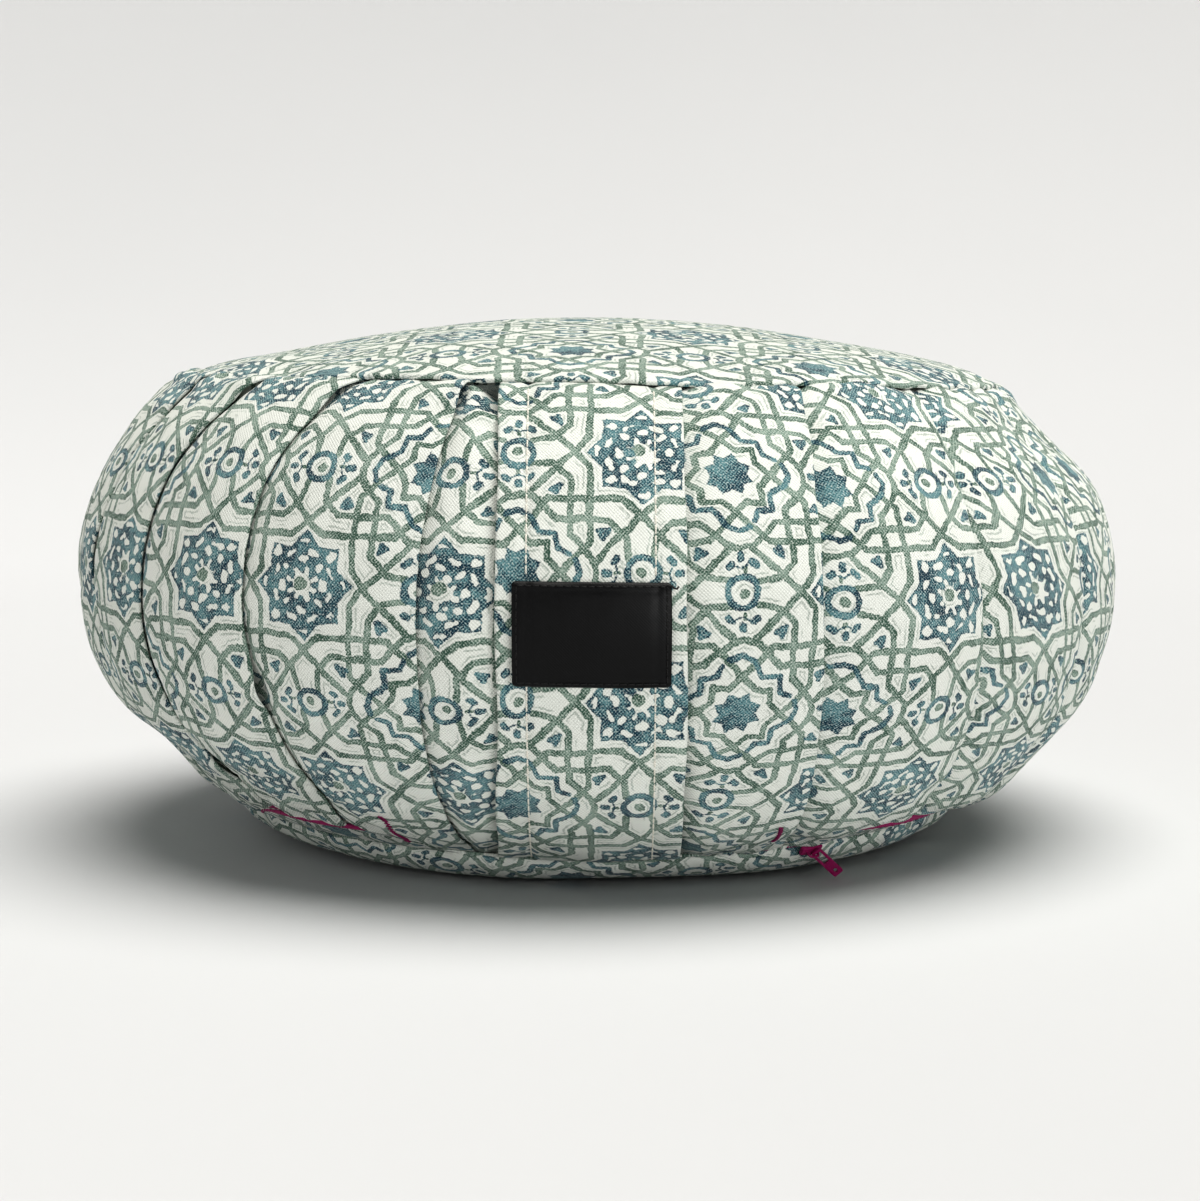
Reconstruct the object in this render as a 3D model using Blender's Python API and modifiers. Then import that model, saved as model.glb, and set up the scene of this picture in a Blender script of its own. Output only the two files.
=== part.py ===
"""Zafu meditation cushion of printed cotton, with pleated side, front panel, label and zip.

Metres, +Z up. The front, with the label, faces -Y, and the cushion stands on z = 0.
An azimuth is counted in degrees from the front towards +X. A height fraction runs from 0 at the
base seam to 1 at the top seam, along the side's bulging outline.
"""

import math
import random
from collections import namedtuple

import bmesh
import bpy
from mathutils import Matrix, Vector

# The whole cushion
GIRTH_RADIUS = 0.1795  # at the widest level
GIRTH_HEIGHT = 0.090
SIDE_CURVE = 0.081  # radius of the side's outline
TOP_SEAM_ANGLE = math.radians(57.8)  # on the side's outline, above the widest level
BASE_SEAM_ANGLE = math.radians(69.3)  # below it
CROWN = 0.0205  # how far the top rises above its seam
TOP_TILT = 0.016  # the top leans down towards +X, as a slope
FRONT_DROP = 0.0035  # the base seam hangs this much lower at the front
FLAT_RADIUS = 0.098  # of the base where it rests
RIM_SHARES = (0.0, 0.25, 0.5, 0.7, 0.85, 0.95, 1.0)  # of the way from there up to the base seam
CENTRING = Vector((0.0, 0.0007, 0.0))  # puts the middle of the whole part over the origin

# Cloth
PANEL_THICKNESS = 0.002
CLEARANCE = 0.0004  # between two pieces that touch
SEAM_OVERHANG = 0.0010  # of the top's rim over the side

# Side: pleats all turn the same way, each edge lying over the next strip towards +X
Fold = namedtuple("Fold", "base low high top depth")
FOLD_LEVELS = (0.0, 0.3, 0.65, 1.0)  # the height fractions that the table's azimuths are for
RIGHT_FOLDS = (
    Fold(base=26.5, low=22.8, high=21.7, top=25.2, depth=0.0024),
    Fold(base=45.0, low=42.5, high=40.4, top=44.0, depth=0.0026),
    Fold(base=65.0, low=62.5, high=60.5, top=64.0, depth=0.0030),
)
LEFT_FOLDS = (
    Fold(base=-63.5, low=-67.5, high=-67.5, top=-61.5, depth=0.0046),
    Fold(base=-48.5, low=-52.2, high=-53.8, top=-45.5, depth=0.0050),
    Fold(base=-33.5, low=-35.0, high=-36.6, top=-30.5, depth=0.0054),
    Fold(base=-17.8, low=-17.5, high=-17.0, top=-15.5, depth=0.0034),
)
BACK_FOLD_COUNT = 13
BACK_FOLD_SHIFT = 1.3  # degrees, the most that one is off its even place
BACK_FOLD_BOW = 3.0  # degrees, the most that one bows away from the seams
BACK_FOLD_DEPTHS = (0.0028, 0.0046)
PLEAT_SEED = 5
PUFF = 0.0012  # how far a strip swells between its folds
FOLD_WALL = 0.36  # degrees that a fold's edge takes to drop to the next strip

# Front panel and label
PANEL_WIDTH = 0.054
PANEL_OFFSET = -0.0022  # of its middle, along X
PANEL_LIFT = 0.0006  # of its outer face over the side's outline
LABEL_SIZE = (0.045, 0.029)
LABEL_HEIGHT = 0.517  # height fraction of its middle
LABEL_THICKNESS = 0.0009

# Zip
ZIP_START = 24.0  # azimuth of its closed end, from where it runs round the back
ZIP_END = 333.0
TAPE_HEIGHT = 0.0016
TAPE_DEPTH = 0.0050
SLIDER_AZIMUTH = 31.3
SLIDER_DIP = math.radians(35)  # its face looks down by this, between the side and the base
SLIDER_STANDOFF = 0.0017  # of its back from the tape's outer edge
SLIDER_SIZE = (0.0076, 0.0040, 0.0016)  # length, height, thickness
BRIDGE_SIZE = (0.0036, 0.0027)  # between its legs' middles, reach above the slider's face
BRIDGE_WIRE = 0.0004
PULL_EYE = 0.0017  # from the pull's end to the bridge's leg in its slot
PULL_STANDOFF = 0.00135  # of the pull's middle from the slider's face, at that leg
PULL_WIDTH = 0.0036
PULL_THICKNESS = 0.0008
PULL_TIP = Vector((0.0766, -0.1062, 0.0019))

COTTON = ("printed cotton", (0.50, 0.57, 0.54), 0.9, 0.0)
LABEL_SATIN = ("black satin", (0.012, 0.012, 0.013), 0.45, 0.0)
ZIP_CLOTH = ("magenta zip tape", (0.22, 0.016, 0.075), 0.7, 0.0)
ZIP_ENAMEL = ("magenta enamel", (0.20, 0.012, 0.065), 0.35, 0.0)


def smooth_step(value):
    value = min(1.0, max(0.0, value))
    return value * value * (3 - 2 * value)


def curve_through(values, at):
    """The value at one height fraction of the cubic through four values at FOLD_LEVELS."""
    total = 0.0
    for i, value in enumerate(values):
        weight = 1.0
        for j, level in enumerate(FOLD_LEVELS):
            if i != j:
                weight *= (at - level) / (FOLD_LEVELS[i] - level)
        total += weight * value
    return total


def base_seam_height(azimuth):
    """The base seam hangs lowest at the front."""
    nominal = GIRTH_HEIGHT - SIDE_CURVE * math.sin(BASE_SEAM_ANGLE)
    return nominal - FRONT_DROP * max(0.0, math.cos(math.radians(azimuth))) ** 2


def seam_radius(angle):
    return GIRTH_RADIUS - SIDE_CURVE + SIDE_CURVE * math.cos(angle)


TOP_RADIUS = seam_radius(TOP_SEAM_ANGLE)
BASE_RADIUS = seam_radius(BASE_SEAM_ANGLE)


def around(azimuth, radius, height, lean=1.0):
    """A point at an azimuth, with the cushion's lean at its full strength on the top."""
    turn = math.radians(azimuth)
    x = radius * math.sin(turn)
    return CENTRING + Vector((x, -radius * math.cos(turn), height - TOP_TILT * x * lean))


def side_point(azimuth, level, lift=0.0):
    """A point of the side's outline, moved out by a lift."""
    angle = -BASE_SEAM_ANGLE + level * (BASE_SEAM_ANGLE + TOP_SEAM_ANGLE)
    below = (GIRTH_HEIGHT - base_seam_height(azimuth)) / math.sin(BASE_SEAM_ANGLE)
    rise = SIDE_CURVE if angle > 0 else below
    radius = GIRTH_RADIUS - SIDE_CURVE + (SIDE_CURVE + lift) * math.cos(angle)
    return around(azimuth, radius, GIRTH_HEIGHT + (rise + lift) * math.sin(angle), level)


def base_outline(azimuth, share, inset=0.0):
    """A point of the base's puffed rim: share 0 is where the floor ends, 1 is its seam."""
    top = base_seam_height(azimuth) - TAPE_HEIGHT / 2 - CLEARANCE
    across = BASE_RADIUS - FLAT_RADIUS
    sine, cosine = math.sin(share * math.pi / 2), math.cos(share * math.pi / 2)
    slant = math.hypot(top * sine, across * cosine)
    radius = FLAT_RADIUS + across * sine - inset * top * sine / slant
    return around(azimuth, radius, top * (1 - cosine) + inset * across * cosine / slant, 0.0)


def back_folds():
    """The pleats that the front doesn't show, evenly spaced but for small shifts."""
    chance = random.Random(PLEAT_SEED)
    first, last = RIGHT_FOLDS[-1], LEFT_FOLDS[0]
    folds = []
    for number in range(1, BACK_FOLD_COUNT + 1):
        share = number / (BACK_FOLD_COUNT + 1)
        middle = first.high + share * (last.high + 360 - first.high)
        middle += chance.uniform(-BACK_FOLD_SHIFT, BACK_FOLD_SHIFT)
        bow = chance.uniform(0.2, 1.0) * BACK_FOLD_BOW
        low = middle + chance.uniform(-1.0, 1.0)
        depth = chance.uniform(*BACK_FOLD_DEPTHS)
        folds.append(Fold(middle + bow, low, middle, middle + bow, depth))
    return folds


def turned(fold):
    return Fold(fold.base + 360, fold.low + 360, fold.high + 360, fold.top + 360, fold.depth)


ALL_FOLDS = [*RIGHT_FOLDS, *back_folds(), *(turned(fold) for fold in LEFT_FOLDS)]


def panel_edge(level, side, margin=0.0):
    """The azimuth of the front panel's straight edge, on the side of +X or -X."""
    radius = math.hypot(*(side_point(0.0, level) - CENTRING).xy)
    across = PANEL_OFFSET + side * (PANEL_WIDTH / 2 + margin)
    return math.degrees(math.asin(across / radius))


# Each strip's section: how far across it, and how much of the fold's depth and of the puff it has
STRIP_SECTION = ((0.0, -1.0, 0.0), (0.1, -0.5, 0.1), (0.3, 0.0, 0.5), (0.65, 0.0, 1.0),
                 (0.93, 0.0, 0.8), (1.0, 0.0, 0.1))  # fmt: skip
UNDER_PANEL = PANEL_THICKNESS - PANEL_LIFT + CLEARANCE


def side_columns(level):
    """(azimuth, lift) of each column of the side at one height fraction."""
    swell = 1 - abs(2 * level - 1) ** 4
    right, left = panel_edge(level, 1, CLEARANCE), panel_edge(level, -1, CLEARANCE) + 360
    edges = [right] + [curve_through(fold[:4], level) for fold in ALL_FOLDS] + [left]
    depths = [0.0] + [fold.depth for fold in ALL_FOLDS]
    columns = []
    for number, depth in enumerate(depths):
        start = edges[number] + FOLD_WALL
        span = edges[number + 1] - start
        for across, sunk, puffed in STRIP_SECTION:
            lift = (sunk * depth + puffed * PUFF) * swell
            if number == 0:
                lift -= UNDER_PANEL * (1 - smooth_step(across * 4))
            if number == len(depths) - 1:
                lift -= UNDER_PANEL * smooth_step(across * 4 - 3)
            columns.append((start + across * span, lift))
    width = right + 360 - left
    for share in (0.25, 0.5, 0.75, 1.0):
        columns.append((left + share * width, -UNDER_PANEL))
    return columns


def loft(name, rings, poles):
    """A closed body through rings of equal length, with a fan to a pole at each end."""
    body = bmesh.new()
    loops = [[body.verts.new(point) for point in ring] for ring in rings]
    count = len(loops[0])
    for lower, upper in zip(loops, loops[1:]):
        for i in range(count):
            j = (i + 1) % count
            body.faces.new((lower[i], lower[j], upper[j], upper[i]))
    for loop, pole in zip((loops[0], loops[-1]), poles):
        middle = body.verts.new(pole)
        for i in range(count):
            body.faces.new((loop[i], loop[(i + 1) % count], middle))
    return finished(name, body)


def sheet(name, rows, thickness, wrap=False, pole=None):
    """An open surface through rows of points, thickened inwards by a Solidify."""
    body = bmesh.new()
    loops = [[body.verts.new(point) for point in row] for row in rows]
    count = len(loops[0])
    for lower, upper in zip(loops, loops[1:]):
        for i in range(count if wrap else count - 1):
            j = (i + 1) % count
            body.faces.new((lower[i], lower[j], upper[j], upper[i]))
    if pole is not None:
        middle = body.verts.new(pole)
        for i in range(count):
            body.faces.new((loops[-1][i], loops[-1][(i + 1) % count], middle))
    made = finished(name, body, closed=False)
    thicken = made.modifiers.new("Thickness", "SOLIDIFY")
    thicken.thickness = thickness
    thicken.offset = -1
    thicken.use_even_offset = True
    return made


def finished(name, body, closed=True):
    """A named object of this mesh, with its faces outwards and smooth but for its edges."""
    if closed:
        bmesh.ops.recalc_face_normals(body, faces=body.faces)
    mesh = bpy.data.meshes.new(name)
    body.to_mesh(mesh)
    body.free()
    mesh.shade_smooth()
    mesh.set_sharp_from_angle(angle=math.radians(50))
    return placed(name, mesh)


def placed(name, data):
    made = bpy.data.objects.new(name, data)
    PARTS.objects.link(made)
    return made


def give_material(made, finish):
    name, colour, roughness, metallic = finish
    material = bpy.data.materials.get(name) or bpy.data.materials.new(name)
    material.use_nodes = True
    shader = material.node_tree.nodes["Principled BSDF"]
    shader.inputs["Base Color"].default_value = (*colour, 1)
    shader.inputs["Roughness"].default_value = roughness
    shader.inputs["Metallic"].default_value = metallic
    made.data.materials.clear()
    made.data.materials.append(material)


def top_height(share, sink=0.0):
    """The top's crown: share 0 is its middle and 1 its seam."""
    seam = GIRTH_HEIGHT + SIDE_CURVE * math.sin(TOP_SEAM_ANGLE)
    return seam + SEAM_OVERHANG + CROWN * (1 - share * share) - sink


def make_side_band():
    """The pleated side as the filled cushion's body, under the top and over the base."""
    levels = (0.012, 0.035, 0.07, 0.12, 0.18, 0.25, 0.33, 0.41, 0.49, 0.57, 0.65, 0.73,
              0.80, 0.86, 0.91, 0.95, 0.98)  # fmt: skip
    azimuths_base = [azimuth for azimuth, _ in side_columns(0.0)]
    azimuths_top = [azimuth for azimuth, _ in side_columns(1.0)]
    core_inset = PANEL_THICKNESS + CLEARANCE
    groove = TAPE_DEPTH + CLEARANCE
    half_gap = TAPE_HEIGHT / 2 + CLEARANCE
    rings = [[around(a, FLAT_RADIUS * 0.5, core_inset, 0) for a in azimuths_base]]
    for share in RIM_SHARES[:-1]:
        rings.append([base_outline(a, share, core_inset) for a in azimuths_base])
    for height_side in (-1, 1):
        rings.append([
            around(a, BASE_RADIUS - groove, base_seam_height(a) + height_side * half_gap, 0)
            for a in azimuths_base
        ])
    rings.append([
        around(a, BASE_RADIUS - CLEARANCE, base_seam_height(a) + half_gap, 0)
        for a in azimuths_base
    ])
    for level in levels:
        rings.append([side_point(a, level, lift) for a, lift in side_columns(level)])
    under_top = PANEL_THICKNESS + CLEARANCE
    for share in (1.0, 0.96, 0.75, 0.5, 0.25):
        rings.append([
            around(a, TOP_RADIUS * share, top_height(share, under_top)) for a in azimuths_top
        ])
    poles = (around(0, 0, core_inset, 0), around(0, 0, top_height(0.0, under_top)))
    give_material(loft("side_band", rings, poles), COTTON)


def make_top_panel():
    """The round top, a low dome whose rim overhangs the side a little."""
    count = 84
    azimuths = [360 * i / count for i in range(count)]
    rim = 1 + SEAM_OVERHANG / TOP_RADIUS
    rings = [
        [around(a, TOP_RADIUS * share, top_height(share)) for a in azimuths]
        for share in (rim, 0.96, 0.86, 0.70, 0.50, 0.28)
    ]
    made = sheet("top_panel", rings, PANEL_THICKNESS, True, around(0, 0, top_height(0.0)))
    give_material(made, COTTON)


def make_bottom_panel():
    """The round base: flat where it rests, with a puffed rim up to the lower seam."""
    count = 84
    azimuths = [-360 * i / count for i in range(count)]
    rings = [
        [base_outline(a, share) for a in azimuths]
        for share in reversed(RIM_SHARES)
    ]
    rings.append([around(a, FLAT_RADIUS * 0.5, 0.0, 0) for a in azimuths])
    made = sheet("bottom_panel", rings, PANEL_THICKNESS, True, around(0, 0, 0, 0))
    give_material(made, COTTON)


def panel_point(across, level, lift):
    """A point over the front panel, by its distance along X from the panel's middle."""
    radius = math.hypot(*(side_point(0.0, level) - CENTRING).xy)
    azimuth = math.degrees(math.asin((PANEL_OFFSET + across) / radius))
    return side_point(azimuth, level, lift)


def make_front_panel():
    """The straight panel that is topstitched over the pleats, from seam to seam."""
    levels = [0.02 + 0.955 * i / 18 for i in range(19)]
    rows = [
        [panel_point(PANEL_WIDTH * (i / 6 - 0.5), level, PANEL_LIFT) for i in range(7)]
        for level in levels
    ]
    give_material(sheet("front_panel", rows, PANEL_THICKNESS), COTTON)


def make_label():
    """The woven label, sewn flat on the front panel."""
    width, height = LABEL_SIZE
    outline_length = SIDE_CURVE * (BASE_SEAM_ANGLE + TOP_SEAM_ANGLE)
    lift = PANEL_LIFT + CLEARANCE + LABEL_THICKNESS
    rows = [
        [
            panel_point(width * (i / 8 - 0.5), LABEL_HEIGHT + share * height / outline_length, lift)
            for i in range(9)
        ]
        for share in (-0.5, -0.25, 0.0, 0.25, 0.5)
    ]
    give_material(sheet("label", rows, LABEL_THICKNESS), LABEL_SATIN)


def make_zip_tape():
    """The zip in the base seam, closed, from the front right round the back."""
    count = 103
    azimuths = [ZIP_START + (ZIP_END - ZIP_START) * i / count for i in range(count + 1)]
    rows = [
        [
            around(a, BASE_RADIUS - inner, base_seam_height(a) + TAPE_HEIGHT / 2, 0)
            for a in azimuths
        ]
        for inner in (0.0, TAPE_DEPTH)
    ]
    give_material(sheet("zip_tape", rows, TAPE_HEIGHT), ZIP_CLOTH)


def slider_frame():
    """Origin on the slider's back; X along the seam, Y up its height, Z out through its face."""
    outward = around(SLIDER_AZIMUTH, 1, 0, 0) - CENTRING
    along = Vector((0, 0, 1)).cross(outward)
    facing = outward * math.cos(SLIDER_DIP) - Vector((0, 0, math.sin(SLIDER_DIP)))
    place = Matrix((along, facing.cross(along), facing)).transposed().to_4x4()
    seam = around(SLIDER_AZIMUTH, BASE_RADIUS, base_seam_height(SLIDER_AZIMUTH), 0)
    place.translation = seam + facing * SLIDER_STANDOFF
    return place


def make_zip_slider():
    """The slider's body with the wire bridge that holds its pull."""
    length, height, thickness = SLIDER_SIZE
    body = bmesh.new()
    bmesh.ops.create_cube(body, size=1, matrix=Matrix.Diagonal((length, height, thickness, 1)))
    bmesh.ops.translate(body, vec=(0, 0, thickness / 2), verts=body.verts)
    for vert in body.verts:
        if vert.co.x < 0:
            vert.co.y *= 0.72
    made = finished("zip_slider", body)
    made.matrix_world = slider_frame()
    rounding = made.modifiers.new("Rounded edges", "BEVEL")
    rounding.width = 0.0005
    rounding.segments = 2

    wire = bpy.data.curves.new("bridge", "CURVE")
    wire.dimensions = "3D"
    wire.bevel_depth = BRIDGE_WIRE
    wire.bevel_resolution = 2
    wire.use_fill_caps = True
    arch = wire.splines.new("POLY")
    steps = 12
    arch.points.add(steps)
    for i, point in enumerate(arch.points):
        cosine, sine = math.cos(math.pi * i / steps), math.sin(math.pi * i / steps)
        aside = math.copysign(math.sqrt(abs(cosine)), cosine) * BRIDGE_SIZE[0] / 2
        reach = math.sqrt(max(0.0, sine)) * BRIDGE_SIZE[1] + thickness - BRIDGE_WIRE
        point.co = (aside, 0, reach, 1)
    made_wire = bpy.data.objects.new("bridge", wire)
    CUTTERS.objects.link(made_wire)
    made_wire.matrix_world = slider_frame()
    bridge = as_cutter(made_wire)
    join = made.modifiers.new("Bridge", "BOOLEAN")
    join.operation = "UNION"
    join.object = bridge
    give_material(made, ZIP_ENAMEL)


def as_cutter(curve_object):
    """The curve as a closed mesh among the cutters, in its place."""
    bpy.context.view_layer.update()
    graph = bpy.context.evaluated_depsgraph_get()
    mesh = bpy.data.meshes.new_from_object(curve_object.evaluated_get(graph))
    body = bmesh.new()
    body.from_mesh(mesh)
    bmesh.ops.remove_doubles(body, verts=body.verts, dist=1e-6)
    bmesh.ops.recalc_face_normals(body, faces=body.faces)
    body.to_mesh(mesh)
    body.free()
    cutter = bpy.data.objects.new(curve_object.name + " mesh", mesh)
    cutter.matrix_world = curve_object.matrix_world
    cutter.hide_render = True
    cutter.display_type = "WIRE"
    CUTTERS.objects.link(cutter)
    bpy.data.objects.remove(curve_object)
    return cutter


def rounded_outline(curve, centre, width, height, radius):
    """One closed outline of a 2D curve: a box with round corners."""
    steps = 4
    outline = curve.splines.new("POLY")
    outline.use_cyclic_u = True
    outline.points.add(4 * (steps + 1) - 1)
    number = 0
    for corner, (side, up) in enumerate(((1, 1), (-1, 1), (-1, -1), (1, -1))):
        for i in range(steps + 1):
            turn = math.pi / 2 * (corner + i / steps)
            x = centre + side * (width / 2 - radius) + radius * math.cos(turn)
            y = up * (height / 2 - radius) + radius * math.sin(turn)
            outline.points[number].co = (x, y, 0, 1)
            number += 1


def make_zip_pull():
    """The flat pull: a slot that hangs on the bridge's leg, and a small hole near its tip."""
    hang = slider_frame() @ Vector((BRIDGE_SIZE[0] / 2, 0, SLIDER_SIZE[2] + PULL_STANDOFF))
    reach = PULL_TIP + CENTRING - hang
    length = reach.length + PULL_EYE
    plate = bpy.data.curves.new("zip_pull", "CURVE")
    plate.dimensions = "2D"
    plate.fill_mode = "BOTH"
    plate.extrude = PULL_THICKNESS / 2
    rounded_outline(plate, length / 2, length, PULL_WIDTH, 0.0006)
    rounded_outline(plate, 0.0036, 0.0054, 0.0020, 0.0005)
    rounded_outline(plate, length - 0.0020, 0.0018, 0.0012, 0.0004)
    made = placed("zip_pull", plate)
    along = reach.normalized()
    facing = slider_frame().to_3x3() @ Vector((0, 0, 1))
    across = facing.cross(along).normalized()
    turn = Matrix((along, across, along.cross(across))).transposed().to_4x4()
    turn.translation = hang - along * PULL_EYE
    made.matrix_world = turn
    give_material(made, ZIP_ENAMEL)


for old in list(bpy.data.objects):
    bpy.data.objects.remove(old)
PARTS = bpy.data.collections.new("zafu cushion")
CUTTERS = bpy.data.collections.new("cutters")
bpy.context.scene.collection.children.link(PARTS)
bpy.context.scene.collection.children.link(CUTTERS)
CUTTERS.hide_render = True

make_side_band()
make_top_panel()
make_bottom_panel()
make_front_panel()
make_label()
make_zip_tape()
make_zip_slider()
make_zip_pull()
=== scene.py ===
"""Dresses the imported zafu: pleated block-printed cotton, woven label, stitching and zip.

Metres, +Z up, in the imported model's own frame. An azimuth is in degrees from the front (-Y)
towards +X. A level runs from 0 at the lower seam to 1 at the upper seam, along the side.
"""

import math
import random
from collections import namedtuple

import bpy
import numpy as np
from mathutils import Euler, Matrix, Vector, noise
from mathutils.bvhtree import BVHTree


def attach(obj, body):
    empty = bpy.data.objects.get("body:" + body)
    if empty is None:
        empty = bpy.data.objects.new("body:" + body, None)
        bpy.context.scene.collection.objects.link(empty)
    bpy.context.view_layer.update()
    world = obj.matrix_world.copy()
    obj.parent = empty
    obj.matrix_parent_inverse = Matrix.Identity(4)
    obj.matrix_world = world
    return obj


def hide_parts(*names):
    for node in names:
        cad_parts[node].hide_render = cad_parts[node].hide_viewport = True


bl_info = {
    "name": "Zafu meditation cushion",
    "version": (1, 0, 0),
    "blender": (4, 5, 0),
    "location": "3D View > Sidebar > Zafu",
    "description": "Pleated zafu in block-printed cotton, with label, stitching and zip",
    "category": "Object",
}

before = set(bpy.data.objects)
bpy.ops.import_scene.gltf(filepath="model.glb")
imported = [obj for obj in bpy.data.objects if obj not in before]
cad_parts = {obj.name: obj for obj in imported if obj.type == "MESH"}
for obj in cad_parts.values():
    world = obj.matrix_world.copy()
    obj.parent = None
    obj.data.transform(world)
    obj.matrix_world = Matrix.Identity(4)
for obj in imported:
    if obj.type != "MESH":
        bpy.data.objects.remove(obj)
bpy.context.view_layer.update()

COTTON = "block-printed plain-weave cotton"
PRINT_MAP = "print"  # a UV map that counts the print's repeats across and along the cloth

# Shape of the filled cushion, as in its solids
GIRTH_RADIUS = 0.1795
GIRTH_HEIGHT = 0.090
SIDE_CURVE = 0.081
TOP_SEAM_ANGLE = math.radians(57.8)
BASE_SEAM_ANGLE = math.radians(69.3)
SIDE_ANGLE = TOP_SEAM_ANGLE + BASE_SEAM_ANGLE
SIDE_LENGTH = SIDE_CURVE * SIDE_ANGLE
CROWN = 0.0188
RIM_OVER_SEAM = 0.0016
TOP_TILT = 0.016
FRONT_DROP = 0.0035
FLAT_RADIUS = 0.098
CENTRING = np.array((0.0, 0.0007, 0.0))
TOP_RADIUS = GIRTH_RADIUS - SIDE_CURVE + SIDE_CURVE * math.cos(TOP_SEAM_ANGLE)
BASE_RADIUS = GIRTH_RADIUS - SIDE_CURVE + SIDE_CURVE * math.cos(BASE_SEAM_ANGLE)
TOP_SEAM_HEIGHT = GIRTH_HEIGHT + SIDE_CURVE * math.sin(TOP_SEAM_ANGLE)
PANEL_WIDTH = 0.054
PANEL_OFFSET = -0.0022
LABEL_SIZE = (0.045, 0.029)
LABEL_LEVEL = 0.527
CLOTH_THICKNESS = 0.0008

# Pleats: the azimuth of each free edge at four levels, how far the next strip starts below it,
# and where the next strip's print has the middle of a mandala column, with its slant and its drop
Pleat = namedtuple("Pleat", "base low high top depth mandala slant drop")
PLEAT_LEVELS = (0.0, 0.3, 0.65, 1.0)
RIGHT_PLEATS = (
    Pleat(26.5, 22.8, 21.7, 25.2, 0.0015, 35.6, 0.0, 0.0030),
    Pleat(45.0, 42.5, 40.4, 44.0, 0.0016, 48.3, -10.7, 0.0030),
    Pleat(65.0, 62.5, 60.5, 64.0, 0.0020, 84.0, -9.0, 0.0),
)
LEFT_PLEATS = (
    Pleat(-63.5, -67.5, -67.5, -61.5, 0.0018, -56.6, 0.0, 0.0),
    Pleat(-48.5, -52.2, -53.8, -45.5, 0.0018, -41.3, 0.0, 0.0),
    Pleat(-33.5, -35.0, -36.6, -30.5, 0.0017, -28.8, 0.0, 0.0),
    Pleat(-17.8, -17.5, -17.0, -15.5, 0.0015, -14.5, 0.0, 0.0),
)
FIRST_MANDALA = 25.5  # azimuth of the mandala column in the strip right of the front panel
BACK_PLEATS = 13
PLEAT_SEED = 5
PRINT_SEED = 11

# Where a pleat's free edge stands open: its number from the front panel leftwards or rightwards
Pocket = namedtuple("Pocket", "pleat level reach lift")
POCKETS = (
    Pocket(-1, 0.95, 0.060, 0.0040),
    Pocket(-2, 0.95, 0.060, 0.0018),
    Pocket(-2, 0.405, 0.050, 0.0034),
    Pocket(-3, 0.95, 0.050, 0.0018),
    Pocket(-3, 0.19, 0.070, 0.0036),
    Pocket(-4, 0.92, 0.060, 0.0022),
    Pocket(-4, 0.60, 0.090, 0.0022),
    Pocket(-4, 0.15, 0.080, 0.0030),
    Pocket(1, 0.96, 0.040, 0.0016),
)

# Where the filling leaves the side fuller or flatter than its outline
Hollow = namedtuple("Hollow", "azimuth level wide high lift")
HOLLOWS = (
    Hollow(-82, 0.18, 38, 0.10, -0.0058),
    Hollow(-86, 0.80, 24, 0.09, -0.0014),
    Hollow(84, 0.86, 34, 0.10, -0.0056),
    Hollow(90, 0.955, 16, 0.040, -0.0030),
    Hollow(86, 0.20, 24, 0.07, -0.0022),
    Hollow(74, 0.07, 26, 0.09, 0.0028),
)

# The print, in repeats: mandalas at whole numbers, stars half-way between them, and rings where
# two mandalas or two stars are neighbours. Each stroke runs between two points at a half width.
Stroke = namedtuple("Stroke", "x1 y1 x2 y2 half")


def bent(half, *points):
    """The strokes of one bent line through these points."""
    return tuple(Stroke(*a, *b, half) for a, b in zip(points, points[1:]))


# In the eighth of a repeat that mirrors fill up: 0 <= y <= x <= 1/2 from a mandala's middle
STRANDS = (
    *bent(0.0143, (0.268, 0.000), (0.211, 0.072), (0.211, 0.211), (0.380, 0.211), (0.500, 0.333)),
    *bent(0.0143, (0.293, 0.128), (0.293, 0.293), (0.350, 0.293), (0.398, 0.240), (0.447, 0.200)),
    *bent(0.0143, (0.447, 0.200), (0.500, 0.186)),
    *bent(0.0143, (0.268, 0.000), (0.455, 0.182)),
    *bent(0.0143, (0.293, 0.128), (0.357, 0.062), (0.445, 0.050)),
    *bent(0.0135, (0.500, 0.333), (0.447, 0.385), (0.383, 0.383)),
)
SPRIGS = (
    Stroke(0.444, 0.106, 0.458, 0.118, 0.0150),
    Stroke(0.500, 0.135, 0.500, 0.148, 0.0155),
    Stroke(0.458, 0.118, 0.500, 0.100, 0.0035),
    Stroke(0.331, 0.143, 0.364, 0.165, 0.0110),
    Stroke(0.331, 0.143, 0.341, 0.181, 0.0110),
    Stroke(0.341, 0.181, 0.364, 0.165, 0.0080),
)
STEM = Stroke(0.500, 0.085, 0.500, 0.102, 0.0080)
LEAVES = (
    Stroke(0.102, 0.000, 0.102, 0.006, 0.0205),
    Stroke(0.073, 0.073, 0.078, 0.078, 0.0195),
    Stroke(0.122, 0.070, 0.137, 0.038, 0.0140),
    Stroke(0.126, 0.120, 0.138, 0.130, 0.0150),
    Stroke(0.187, 0.000, 0.184, 0.016, 0.0120),
    Stroke(0.020, 0.008, 0.061, 0.0255, 0.0125),
    Stroke(0.000, 0.000, 0.000, 0.000, 0.0480),
)
MANDALA_SQUARE = 0.161
MANDALA_TIP = 0.229
# In the quarter around a star's own axis: x to the right of it and y outwards, turned, not mirrored
WAVY_RING = (
    *bent(0.0125, (-0.045, 0.232), (0.002, 0.248), (0.050, 0.226), (0.094, 0.156), (0.156, 0.152)),
    *bent(0.0125, (-0.152, 0.158), (-0.090, 0.166), (-0.072, 0.206)),
)
RING_RADIUS = 0.0605
RING_HALF = 0.0140
RING_EYE = 0.0215
HEART_RADIUS = 0.029
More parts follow.
